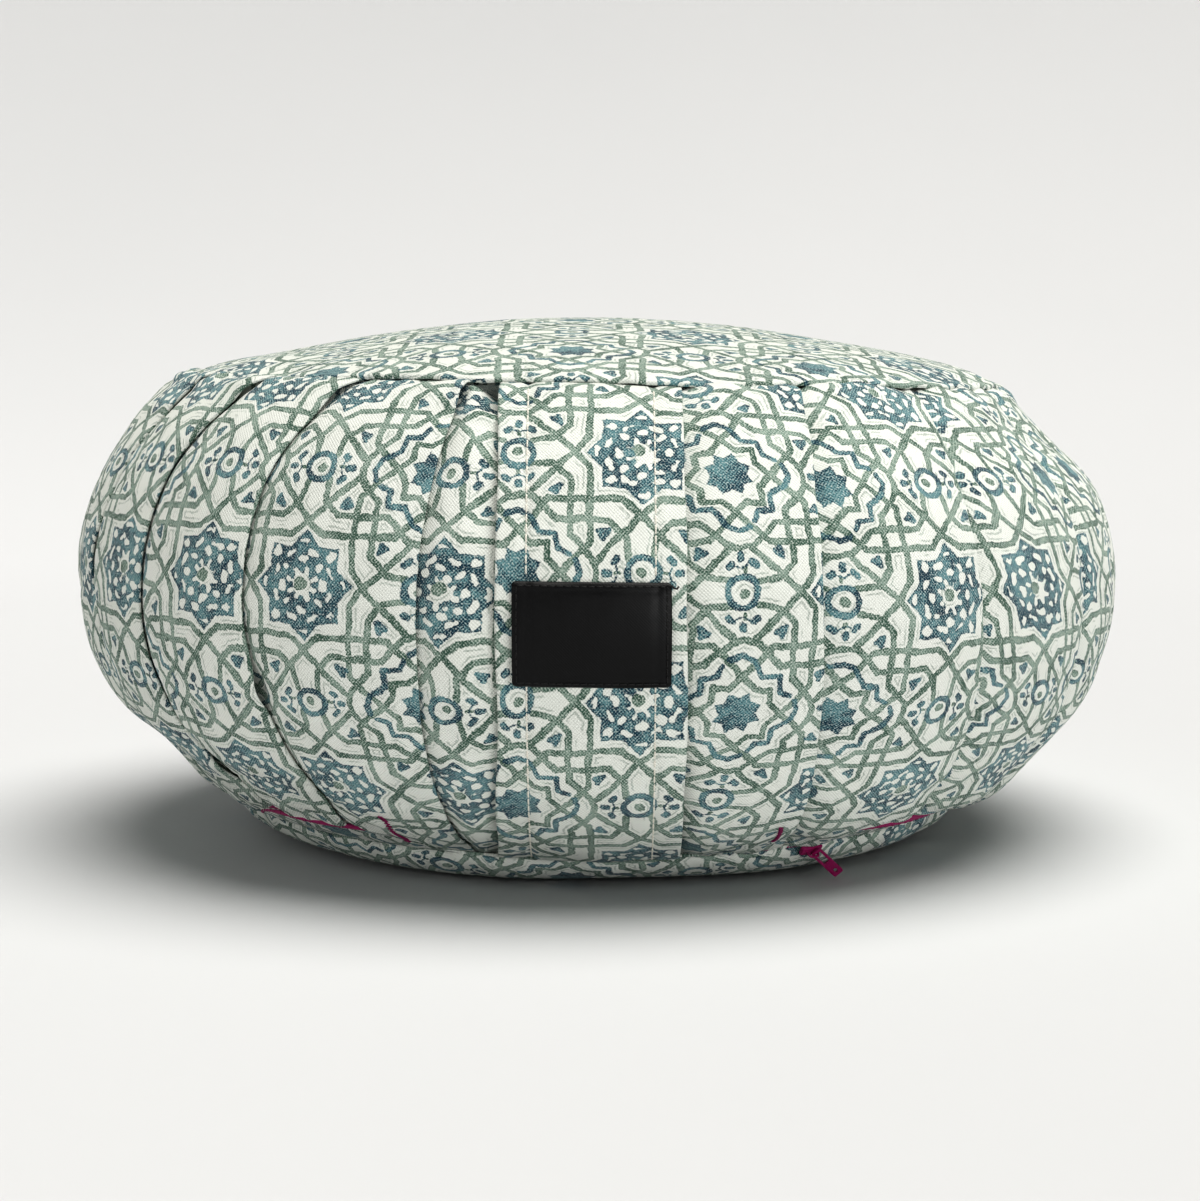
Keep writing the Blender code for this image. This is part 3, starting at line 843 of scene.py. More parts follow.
# The columns across a strip's visible part, as shares of its width
VISIBLE = (
    *(0.0, 0.02, 0.05, 0.09, 0.14, 0.20, 0.27, 0.35, 0.43, 0.51, 0.59, 0.67, 0.74, 0.81),
    *(0.87, 0.92, 0.96, 0.985, 1.0),
)
EDGE_TURN = (36, 72, 108, 144, 180)  # degrees round a pleat's free edge
BACK_TURN = (45, 90, 135)
EDGE_RADIUS = 0.0006
TUCK = 0.0065  # how deep the hidden cloth of a pleat is modelled
SIDE_ROWS = 112
STRIP_BULGE = 0.0019  # how far a strip stands out between its edges
STRIP_RISE = 0.0060  # how soon it comes up from the pleat before it
PANEL_COLUMNS = 8  # of the cloth under the front panel
HIDDEN_REPEATS = 0.15  # the least of a repeat that a pleat hides
MANDALA_ROW = 0.106  # the print's row of mandalas, along the side from the lower seam
MANDALA_LEVEL = 0.59  # the same row as a level, which the print's slants turn round
DRAWN_IN = (0.030, 0.16)  # how far below that row the print is drawn together, and how much
SEAM_REACH = 0.32  # the level up to which the side gives way where the lower seam rises
CLOSED_UNDER = 0.0045  # height of the side's hidden floor
CLOSED_OVER = 0.0034  # how far its hidden lid lies under the top


def gape_of(number, level):
    """How much further a pleat stands open at a level, by its number in PLEATS."""
    total = 0.0
    for pocket in POCKETS:
        if pocket.pleat in (number + 1, number - len(PLEATS)):
            total += pocket.lift * bump_at(level, pocket.level, pocket.reach)
    return total


# Where the zip bulges out of the lower seam: azimuth, reach and how much thicker its roll is
ZIP_BULGES = (
    (-38, 15, 0.0007),
    (44, 14, 0.0010),
    (110, 9, 0.0004),
    (160, 12, 0.0005),
    (215, 10, 0.0005),
    (262, 9, 0.0004),
)
# Where the base bulges, so that the lower seam rides up the side: the azimuths where that starts,
# is full, begins to end, and ends, and its level
SEAM_RISES = ((30.5, 36.5, 56.0, 72.0, 0.073), (-64.0, -46.0, -30.0, -18.0, 0.092))
ZIP_RADIUS = 0.0003


def zip_radius(azimuth):
    """The radius of the zip's roll in the lower seam."""
    radius = ZIP_RADIUS
    for middle, reach, thicker in ZIP_BULGES:
        radius = radius + thicker * bump_at(nearest_turn(azimuth, middle), 0, reach)
    return radius


def seam_level(azimuth):
    """How far the lower seam rides up the side."""
    turn = nearest_turn(azimuth, 0)
    level = 0.0
    for start, full, until, end, high in SEAM_RISES:
        up = smooth_step((turn - start) / (full - start))
        level = level + high * up * (1 - smooth_step((turn - until) / (end - until)))
    return level


def nearest_turn(azimuth, middle):
    """How many degrees an azimuth is from a middle, the shorter way round."""
    return (azimuth - middle + 180) % 360 - 180


def side_relief(azimuth, level):
    """Lumps of the filling, long soft wrinkles, puckers along the seams and hollows, as a lift."""
    turn = math.radians(azimuth)
    radius = outline_radius(level)
    x, y = radius * math.sin(turn), radius * math.cos(turn)
    z = level * SIDE_LENGTH
    lift = 0.0010 * wavering(x, y, z, 0.045) + 0.00045 * wavering(y, z, x, 0.016)
    crease = abs(wavering(x * 1.4 + 7, z * 0.6 + y, z - x, 0.024))
    creased = smooth_step(wavering(z, x, y, 0.05) * 2)
    lift -= 0.0006 * falloff(crease, 0.10) * creased
    pull = 0.25 + 0.75 * abs(2 * level - 1) ** 1.5
    lift += 0.0007 * pull * wavering(x + 2, y, z * 0.14, 0.009)
    from_top = (1 - level) * SIDE_LENGTH
    from_base = level * SIDE_LENGTH
    flush = smooth_step((nearest_turn(azimuth, 28) / 14) ** 2)
    lift -= 0.0012 * flush * falloff(from_top, 0.0036)
    lift -= 0.0003 * falloff(from_base, 0.003)
    # Each pleat's thick fold stands up round the upper seam, most of all on the left
    aside = nearest_turn(azimuth, -88)
    roll = 0.35 + 0.65 * smooth_step(2.0 - abs(aside) / 26)
    roll *= smooth_step(abs(nearest_turn(azimuth, 12)) / 18 - 1.6)
    knot = 0.45 + 1.0 * wavering(x, y, from_top * 0.5, 0.0070)
    lift += 0.0021 * roll * knot * falloff(from_top - 0.0050, 0.0060)
    for away in (from_top, from_base):
        fade = falloff(away, 0.013)
        lift += 0.0007 * fade * wavering(x, y, away * 0.25, 0.0045)
        lift += 0.0010 * fade * wavering(x + 1, y, away * 0.20, 0.011)
    for hollow in HOLLOWS:
        aside = nearest_turn(azimuth, hollow.azimuth) / hollow.wide
        up = (level - hollow.level) / hollow.high
        if abs(aside) < 2.5 and abs(up) < 2.5:
            lift += hollow.lift * math.exp(-aside * aside - up * up)
    return lift


def strip_prints(across):
    """For each strip, the azimuth of its mandala column, its slant, its count of whole repeats,
    so that the cloth hidden in each pleat always runs on, and how far its print is set down."""
    degree = math.radians(1) * GIRTH_RADIUS
    prints = [(FIRST_MANDALA, 0.0, 0, 0.0)]
    for pleat in PLEATS:
        before, _, whole, _ = prints[-1]
        hidden = HIDDEN_REPEATS - (pleat.mandala - before) * degree / across
        while hidden < HIDDEN_REPEATS:
            hidden += 1
            whole += 1
        prints.append((pleat.mandala, pleat.slant, whole, pleat.drop))
    return prints


def pleat_edges(level):
    """The azimuths where the strips end at one level, from the front panel round to it again."""
    edges = [panel_azimuth(PANEL_WIDTH / 2 - PANEL_OVERLAP, level)]
    for number, pleat in enumerate(PLEATS):
        edge = curve_through(pleat[:4], level)
        edge += 0.22 * wavering(number * 3.7, level * SIDE_LENGTH, 0.0, 0.030)
        edge += 0.08 * wavering(number * 3.7, level * SIDE_LENGTH, 5.0, 0.007)
        edges.append(edge)
    edges.append(panel_azimuth(PANEL_OVERLAP - PANEL_WIDTH / 2, level) + 360)
    return edges


def pleat_row(level, across, prints):
    """(azimuth, lift, repeats across, print's drop) of every column of the side at one level."""
    press = 1 - 0.72 * abs(2 * level - 1) ** 7  # the seams press the pleats flat
    radius = outline_radius(level)
    degree = math.radians(1) * radius
    # The cloth is gathered a little towards the seams, and its print with it
    cloth_degree = math.radians(1) * GIRTH_RADIUS * (radius / GIRTH_RADIUS) ** 0.7
    over = SIDE_LENGTH * (level - MANDALA_LEVEL) * 10  # decimetres above the mandala row
    edge_radius = EDGE_RADIUS * (0.55 + 0.45 * press)
    edges = pleat_edges(level)
    columns = []
    start_lift = -UNDER_PANEL
    for number, (left, right) in enumerate(zip(edges, edges[1:])):
        is_last = number == len(PLEATS)
        mandala, slant, whole, drop = prints[number]
        end = right if is_last else right - edge_radius / degree
        column_at = mandala + slant * over
        gape = 0.0 if is_last else gape_of(number, level)
        width = (end - left) * degree
        rise = min(STRIP_RISE, width * 0.4)
        for share in VISIBLE:
            azimuth = left + (end - left) * share
            away = share * width
            if number == 0:
                lift = -UNDER_PANEL * (1 - smooth_step((away - 0.0060) / 0.010))
            else:
                lift = start_lift * (1 - smooth_step(away / rise) ** 0.8)
            lift += STRIP_BULGE * press * math.sin(math.pi * share) ** 0.8
            lift += gape * 0.55 * smooth_step((share - 0.55) / 0.45)
            if is_last:
                # It dips under the front panel, and at the top behind a small lip
                lift -= UNDER_PANEL * smooth_step((0.017 - (width - away)) / 0.010)
                lift -= 0.0042 * smooth_step((level - 0.905) / 0.012) * smooth_step(away / 0.008)
                lift += 0.0014 * bump_at(level, 0.897, 0.025) * bump_at(share, 0.45, 0.5)
            repeats = (azimuth - column_at) * cloth_degree / across + whole
            columns.append((azimuth, lift, repeats, drop))
        if is_last:
            break

        # Round the free edge, back under the strip, and forwards again as the next strip
        top, cloth_end = columns[-1][1:3]
        depth = PLEATS[number].depth * press + gape * 0.45
        depth = max(depth, 2 * edge_radius + 0.0004)
        for turn in EDGE_TURN:
            angle = math.radians(turn)
            azimuth = end + edge_radius * math.sin(angle) / degree
            lift = top - edge_radius * (1 - math.cos(angle))
            columns.append((azimuth, lift, cloth_end + edge_radius * angle / across, drop))
        middle = top - 2 * edge_radius
        bottom = min(-depth, middle - 0.0004)
        mandala, slant, whole, next_drop = prints[number + 1]
        next_start = (right - mandala - slant * over) * cloth_degree / across + whole
        hidden = [(end - TUCK * 0.5 / degree, middle), (end - TUCK / degree, middle)]
        half_gap = (middle - bottom) / 2
        for turn in BACK_TURN:
            angle = math.radians(turn)
            azimuth = end - (TUCK + half_gap * math.sin(angle)) / degree
            hidden.append((azimuth, middle - half_gap * (1 - math.cos(angle))))
        hidden += [(end - TUCK / degree, bottom), (end - TUCK * 0.5 / degree, bottom)]
        first = cloth_end + edge_radius * math.pi / across
        for i, (azimuth, lift) in enumerate(hidden, 1):
            share = i / (len(hidden) + 1)
            repeats = first + (next_start - first) * share
            columns.append((azimuth, lift, repeats, drop + (next_drop - drop) * share))
        start_lift = bottom

    # The cloth under the front panel
    left, right = edges[-1], edges[0] + 360
    last_cloth = columns[-1][2]
    for i in range(1, PANEL_COLUMNS):
        azimuth = left + (right - left) * i / PANEL_COLUMNS
        repeats = last_cloth + (azimuth - left) * degree / across
        columns.append((azimuth, -UNDER_PANEL, repeats, 0.0))
    return columns


class ZAFU_OT_side(bpy.types.Operator):
    """The filled cushion's side: a band of cloth in deep overlapping pleats"""

    bl_idname = "zafu.side"
    bl_label = "Pleated side"

    def execute(self, context):
        cloth = context.scene.zafu_cloth
        across = cloth.repeat_across
        prints = strip_prints(across)
        rings, maps = [], []
        for row in range(SIDE_ROWS + 1):
            # The rows stand closer together towards both seams
            share = row / SIDE_ROWS
            level = 0.72 * share + 0.28 * (0.5 - 0.5 * math.cos(math.pi * share))
            level = 0.001 + 0.995 * level
            columns = pleat_row(level, across, prints)
            azimuths = np.array([c[0] for c in columns])
            lifts = np.array([c[1] + side_relief(c[0], level) for c in columns])
            rolled = (zip_radius(azimuths) - ZIP_RADIUS) / SIDE_LENGTH
            raised = (seam_level(azimuths) + rolled) * max(0.0, 1 - level / SEAM_REACH) ** 2
            levels = level + raised
            rings.append(side_point(azimuths, levels, lifts))
            along = levels * SIDE_LENGTH - MANDALA_ROW
            below, drawn = DRAWN_IN
            along += drawn * np.minimum(0.0, along + below)
            drops = np.array([c[3] for c in columns])
            down = (along + drops) / cloth.repeat_along
            maps.append([(c[2], v) for c, v in zip(columns, down)])

        # The ends are closed by a hidden floor and lid, whose columns must run forwards
        count = len(rings[0])
        low, high = (
            np.maximum.accumulate([c[0] for c in pleat_row(level, across, prints)])
            + np.arange(count) * 1e-4
            for level in (0.0, 1.0)
        )
        base_rings = [
            around(low, FLAT_RADIUS, CLOSED_UNDER, 0),
            around(low, BASE_RADIUS - 0.0060, base_seam_height(low) - 0.0030, 0),
            around(low, BASE_RADIUS - 0.0012, base_seam_height(low) + 0.0004, 0),
        ]
        top_rings = [
            around(high, TOP_RADIUS * share, top_height(share) - CLOSED_OVER)
            for share in (0.985, 0.8, 0.5)
        ]
        edge_map = [(0.02 * c, 0.0) for c in range(count)]
        side = lofted(
            "side_cloth",
            base_rings + rings + top_rings,
            [edge_map] * 3 + maps + [edge_map] * 3,
            [around(0, 0, CLOSED_UNDER, 0), around(0, 0, top_height(0) - CLOSED_OVER)],
            [(0, 0), (0, 0)],
        )
        dress(side, COTTON, printed_cotton, cloth)
        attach(side, "root")
        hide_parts("side_band")
        return {"FINISHED"}


# The round panels
ROUND_COLUMNS = 360
TOP_SEED, BASE_SEED = 3.0, 8.0
TOP_EDGE_RADIUS = 0.0010
TOP_TURN_DOWN = (25, 50, 75, 100, 125, 150)  # degrees round the top's edge
BASE_RIM = 0.033  # length of the base's cloth from the floor up to its seam
BASE_RIM_ROWS = 16
SEAM_ROWS = 6
# Where the print lies: the place of a mandala's middle, and its repeats
PrintPlace = namedtuple("PrintPlace", "x y across along")
ROUND_PRINT = PrintPlace(-0.046, -0.075, 0.0755, 0.0740)
PANEL_PRINT = PrintPlace(0.0125, 0.0754, 0.0706, 0.0723)


def rim_relief(azimuth, from_seam, seed):
    """Puckers that run in from a round panel's seam, and lumps of the filling."""
    turn = math.radians(azimuth)
    x, y = math.sin(turn) * 0.14, math.cos(turn) * 0.14
    fade = falloff(from_seam, 0.014)
    if seed == TOP_SEED:
        fade *= 0.35 + 0.65 * sunk_rim(azimuth)
    lift = 0.0008 * fade * wavering(x + seed, y, from_seam * 0.2, 0.006)
    lift += 0.0010 * fade * wavering(x + seed, y, from_seam * 0.2, 0.014)
    wide = 1 - from_seam / 0.15
    lift += 0.0010 * wavering(x * wide + seed, y * wide, 0, 0.045)
    return lift


def sunk_rim(azimuth):
    """1 where the pleats' folds stand higher than the top's rim, 0 along the front."""
    return smooth_step((abs(nearest_turn(azimuth, 4)) - 34) / 30)


class ZAFU_OT_top(bpy.types.Operator):
    """The round top: a low dome whose turned edge overhangs the pleats a little"""

    bl_idname = "zafu.top"
    bl_label = "Top panel"

    def execute(self, context):
        azimuths = -360 * np.arange(ROUND_COLUMNS) / ROUND_COLUMNS
        shares = [0.06, 0.14, 0.23, 0.32, 0.41, 0.50, 0.58, 0.65, 0.71, 0.77]
        shares += [0.82 + 0.015 * i for i in range(12)]
        spans = [(share, 0) for share in shares] + [(1.0, angle) for angle in TOP_TURN_DOWN]
        rows, maps = [], []
        for share, angle in spans:
            turn = math.radians(angle)
            from_seam = TOP_RADIUS * (1 - share)
            points = []
            for azimuth in azimuths:
                x, y = math.sin(math.radians(azimuth)), math.cos(math.radians(azimuth))
                sunk = sunk_rim(azimuth)
                inset = 0.0002 + 0.0010 * sunk
                radius = (TOP_RADIUS - inset) * share + TOP_EDGE_RADIUS * math.sin(turn)
                radius += 0.0006 * wavering(x, y, 0, 0.12) * math.exp(-from_seam / 0.01)
                lift = rim_relief(azimuth, from_seam, TOP_SEED)
                lift -= 0.0014 * sunk * falloff(from_seam, 0.012)
                # The dome falls in a little towards its left
                lift -= 0.0024 * falloff(TOP_RADIUS * share * x + 0.105, 0.040) * (1 - share**8)
                height = top_height(share) + lift - TOP_EDGE_RADIUS * (1 - math.cos(turn))
                points.append(around(azimuth, radius, height))
            reach = TOP_RADIUS * share + TOP_EDGE_RADIUS * turn
            rows.append(points)
            maps.append(round_map(around(azimuths, reach, 0.0)))
        pole = around(0, 0, top_height(0) + rim_relief(0, TOP_RADIUS, TOP_SEED))
        top = open_sheet("top_cloth", rows, maps, True, pole, round_map(pole[None])[0])
        dress(top, COTTON, printed_cotton, context.scene.zafu_cloth)
        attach(top, "root")
        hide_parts("top_panel")
        return {"FINISHED"}


def round_map(points):
    """Print coordinates of points on the round panels, squarely along X and Y."""
    place = ROUND_PRINT
    x, y = points[:, 0] - place.x, points[:, 1] - place.y
    return np.stack([x / place.across, y / place.along], axis=-1)


def base_outline(azimuth, share, lift=0.0):
    """A point of the base's puffed rim: share 0 is where the floor ends, 1 is its seam."""
    top = base_seam_height(azimuth) + 0.0001
    across = BASE_RADIUS - FLAT_RADIUS
    sine, cosine = math.sin(share * math.pi / 2), math.cos(share * math.pi / 2)
    slant = math.hypot(top * sine, across * cosine)
    radius = FLAT_RADIUS + across * sine + lift * top * sine / slant
    return around(azimuth, radius, top * (1 - cosine) - lift * across * cosine / slant, 0.0)


class ZAFU_OT_base(bpy.types.Operator):
    """The round base: flat where it rests, with a puffed rim up to the lower seam"""

    bl_idname = "zafu.base"
    bl_label = "Base panel"

    def execute(self, context):
        azimuths = 360 * np.arange(ROUND_COLUMNS) / ROUND_COLUMNS
        rows, maps = [], []
        for share in (0.3, 0.6, 0.85, 0.97):
            points = np.array([around(a, FLAT_RADIUS * share, 0.0, 0) for a in azimuths])
            rows.append(points)
            maps.append(round_map(points))
        for i in range(BASE_RIM_ROWS + 1):
            share = i / BASE_RIM_ROWS
            points = []
            for azimuth in azimuths:
                lift = rim_relief(azimuth, (1 - share) * 0.032, BASE_SEED) * min(1.0, share * 3)
                lift = min(lift, base_seam_height(azimuth) * share * share * 0.4)
                points.append(base_outline(azimuth, share, lift))
            rows.append(points)
            maps.append(round_map(around(azimuths, FLAT_RADIUS + BASE_RIM * share, 0.0, 0)))
        # On up the side, as far as the lower seam rides up it
        relief = np.array([rim_relief(a, 0.0, BASE_SEED) for a in azimuths])
        for i in range(1, SEAM_ROWS + 1):
            share = i / SEAM_ROWS
            levels = (seam_level(azimuths) + 0.002) * share
            levels = levels - (zip_radius(azimuths) - ZIP_RADIUS) * 0.6 / SIDE_LENGTH * share
            lift = 0.0002 + relief * 0.5 * (levels / 0.115) * (1 - share)
            rows.append(side_point(azimuths, levels, lift))
            reach = FLAT_RADIUS + BASE_RIM + levels * SIDE_LENGTH
            maps.append(round_map(around(azimuths, reach, 0.0, 0)))
        pole = around(0, 0, 0.0, 0)
        base = open_sheet("base_cloth", rows, maps, True, pole, round_map(pole[None])[0])
        dress(base, COTTON, printed_cotton, context.scene.zafu_cloth)
        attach(base, "root")
        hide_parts("bottom_panel")
        return {"FINISHED"}


# The front panel
STITCH_LINES = (-0.0183, 0.0187)  # across the panel
PANEL_ROWS, PANEL_WIDE = 130, 60
PANEL_ENDS = (0.002, 0.992)  # the levels where it starts and ends
PANEL_THICKNESS = 0.0011
STITCHED_SHARE = 0.965  # how much of its length the topstitching runs


def panel_lift(across, level):
    """How far the front panel stands out: hemmed edges, stitched grooves and a soft middle."""
    along = level * SIDE_LENGTH
    lift = 0.0011 + 0.0006 * wavering(across, along, 5.0, 0.030)
    lift += 0.0007 * math.cos(math.pi * across / PANEL_WIDTH)
    for line in STITCH_LINES:
        away = abs(across - line)
        lift -= 0.0007 * falloff(away, 0.0013)
        lift += 0.00035 * falloff(away, 0.006) * wavering(across * 0.3, along, line, 0.0055)
    to_edge = PANEL_WIDTH / 2 - abs(across)
    lift += 0.0004 * falloff(to_edge, 0.004)
    from_end = min(level, 1 - level) * SIDE_LENGTH
    if level > 0.5:
        lift -= 0.0024 * falloff(from_end, 0.0046)
    else:
        lift -= 0.0009 * falloff(from_end, 0.0030)
    lift += 0.0006 * falloff(from_end, 0.014) * wavering(across, along * 0.2, 9.0, 0.008)
    return lift


def panel_point(across, level, lift):
    """A point over the side's outline, by its distance across from the front panel's middle."""
    return side_point(panel_azimuth(across, level), level, lift)


def panel_map(across, level):
    """Print coordinates on the front panel, which is cut with its print turned a quarter."""
    along = level * SIDE_LENGTH
    x, y = PANEL_OFFSET + across - PANEL_PRINT.x, along - PANEL_PRINT.y
    return x / PANEL_PRINT.across, y / PANEL_PRINT.along


class ZAFU_OT_front(bpy.types.Operator):
    """The straight front panel, topstitched down both sides over the pleats"""

    bl_idname = "zafu.front"
    bl_label = "Front panel"

    def execute(self, context):
        trim = context.scene.zafu_trim
        rows, maps = [], []
        first, last = PANEL_ENDS
        for i in range(PANEL_ROWS + 1):
            level = first + (last - first) * i / PANEL_ROWS
            row, row_map = [], []
            for j in range(PANEL_WIDE + 1):
                share = j / PANEL_WIDE * 2 - 1
                across = PANEL_WIDTH / 2 * share
                side = math.copysign(1.0, share)
                # The panel is a little wider half-way up on the right, and at its foot on the left
                waver = 0.0006 * wavering(side * 3, level * SIDE_LENGTH, 0, 0.022)
                if side > 0:
                    waver += 0.0010 * bump_at(level, 0.42, 0.50)
                else:
                    waver -= 0.0014 * bump_at(level, 0.05, 0.35)
                waver *= abs(share) ** 6
                row.append(panel_point(across + waver, level, panel_lift(across, level)))
                row_map.append(panel_map(across, level))
            rows.append(row)
            maps.append(row_map)
        panel = open_sheet("front_panel_cloth", rows, maps, thickness=PANEL_THICKNESS)
        dress(panel, COTTON, printed_cotton, context.scene.zafu_cloth)
        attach(panel, "root")
        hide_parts("front_panel")

        bodies = []
        pitch = trim.stitch_length
        for line in STITCH_LINES:
            for i in range(int(SIDE_LENGTH * STITCHED_SHARE / pitch)):
                start = 0.003 + i * pitch
                middle = (start + pitch / 2) / SIDE_LENGTH
                if abs(middle - LABEL_LEVEL) * SIDE_LENGTH < LABEL_SIZE[1] / 2 + 0.0005:
                    continue
                path = []
                for share in (0.06, 0.22, 0.5, 0.78, 0.94):
                    level = (start + share * pitch) / SIDE_LENGTH
                    dip = 0.00025 - 0.0006 * abs(share - 0.5) ** 2 * 4
                    path.append(panel_point(line, level, panel_lift(line, level) + dip))
                bodies.append(tube(path, trim.thread_radius))
        stitches = joined("topstitching", bodies)
        dress(stitches, "spun cotton thread, undyed", white_thread, trim)
        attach(stitches, "root")
        return {"FINISHED"}


# The label
LABEL_CORNER = 0.0013
LABEL_SHIFT = 0.0005
LABEL_LIFT = 0.0020  # how far it stands off the panel
LABEL_THICKNESS = 0.0007
LABEL_COLUMNS, LABEL_ROWS = 90, 60
LABEL_INSET = 0.0013  # of its stitching
LABEL_STITCH = 0.0022
# The loose end of its thread, from the stitching's upper right corner: across, up and out
LOOSE_END = (
    (0.0000, 0.0000, 0.0000),
    (0.0006, 0.0004, 0.0005),
    (0.0015, 0.0003, 0.0008),
    (0.0024, -0.0004, 0.0008),
    (0.0031, -0.0005, 0.0005),
    (0.0036, 0.0002, 0.0004),
)
LOOSE_LIFT = 0.0034


def label_point(x, y, lift=0.0):
    """A point of the label by its distances from its middle, standing off the front panel."""
    half_width, half_height = LABEL_SIZE[0] / 2, LABEL_SIZE[1] / 2
    past_x, past_y = abs(x) - half_width + LABEL_CORNER, abs(y) - half_height + LABEL_CORNER
    if past_x > 0 and past_y > 0:
        pull = 1 - max(past_x, past_y) / math.hypot(past_x, past_y)
        x -= math.copysign(past_x * pull, x)
        y -= math.copysign(past_y * pull, y)
    inside = min(half_width - abs(x), half_height - abs(y))
    level = LABEL_LEVEL + y / SIDE_LENGTH
    billow = 0.0005 * smooth_step(inside / 0.004)
    billow += 0.0008 * (1 - (y / half_height) ** 2)
    # The folded ends are thicker
    billow += 0.00045 * falloff(half_height - abs(y) - 0.0013, 0.0009)
    stand = panel_lift(x, level) * 0.4 + LABEL_LIFT
    return panel_point(x + LABEL_SHIFT, level, stand + billow + lift)


class ZAFU_OT_label(bpy.types.Operator):
    """A bare woven satin label with folded ends, its stitching and a loose thread end"""

    bl_idname = "zafu.label"
    bl_label = "Label"

    def execute(self, context):
        trim = context.scene.zafu_trim
        width, height = LABEL_SIZE
        rows, maps = [], []
        for i in range(LABEL_ROWS + 1):
            y = height * (i / LABEL_ROWS - 0.5)
            sideways = 0.0003 * wavering(0, y, 2.0, 0.02)
            loose = 0.0004 * abs(2 * i / LABEL_ROWS - 1) ** 6
            row = []
            for j in range(LABEL_COLUMNS + 1):
                x = width * (j / LABEL_COLUMNS - 0.5)
                crinkle = 0.00018 * wavering(x, y * 0.7, 6.0, 0.009)
                lift = loose * wavering(x, 4.0 * y, 2.0, 0.011) + crinkle
                row.append(label_point(x + sideways, y, lift))
            rows.append(row)
            maps.append([(j / LABEL_COLUMNS, i / LABEL_ROWS) for j in range(LABEL_COLUMNS + 1)])
        label = open_sheet("label_cloth", rows, maps, thickness=LABEL_THICKNESS)
        dress(label, "black woven satin", label_satin, trim)
        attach(label, "root")
        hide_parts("label")

        right, upper = width / 2 - LABEL_INSET, height / 2 - LABEL_INSET
        corners = [(-right, -upper), (right, -upper), (right, upper), (-right, upper)]
        bodies = []
        for (x1, y1), (x2, y2) in zip(corners, corners[1:] + corners[:1]):
            count = round(math.hypot(x2 - x1, y2 - y1) / LABEL_STITCH)
            for i in range(count):
                path = []
                for share in (0.10, 0.5, 0.90):
                    t = (i + share) / count
                    dip = 0.00012 - 0.0005 * abs(share - 0.5) ** 2
                    path.append(label_point(x1 + (x2 - x1) * t, y1 + (y2 - y1) * t, dip))
                bodies.append(tube(path, trim.thread_radius * 0.75))
        path = []
        for across, up, out in LOOSE_END:
            level = LABEL_LEVEL + (upper + up) / SIDE_LENGTH
            path.append(panel_point(right + across, level, LOOSE_LIFT + out))
        bodies.append(tube(path, trim.thread_radius))
        stitches = joined("label_stitching", bodies)
        dress(stitches, "spun polyester thread, black", black_thread, trim)
        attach(stitches, "root")
        return {"FINISHED"}


# The zip
ZIP_START = 24.0
ZIP_END = 333.0
ZIP_COLUMNS = 620
ZIP_SEAM_ALLOWANCE = (0.0045, 0.0024)  # depths of the tape's rows that are sewn in
ZIP_PROUD = 0.15  # how far its roll's middle stands out, in radii
TAPE_THICKNESS = 0.0002
COIL_TURNS = 480
COIL_RADIUS = 0.00022
COIL_MARGIN = 2.0  # degrees between the tape's ends and the coil's
SLIDER_AZIMUTH = 31.3
SLIDER_REACH = 2.2  # degrees to each side where it hides the coil
TACK_STEP = 0.00045
TACK_HALF = 0.24  # half the width of a bar tack, in degrees
# The bar tacks at the zip's ends, through these azimuths and levels
ZIP_TACKS = (
    ((21.9, 0.138), (22.3, 0.120), (22.6, 0.094), (22.4, 0.083)),
    ((-25.6, 0.166), (-25.2, 0.155), (-25.6, 0.105), (-25.0, 0.080), (-25.2, 0.060)),
)


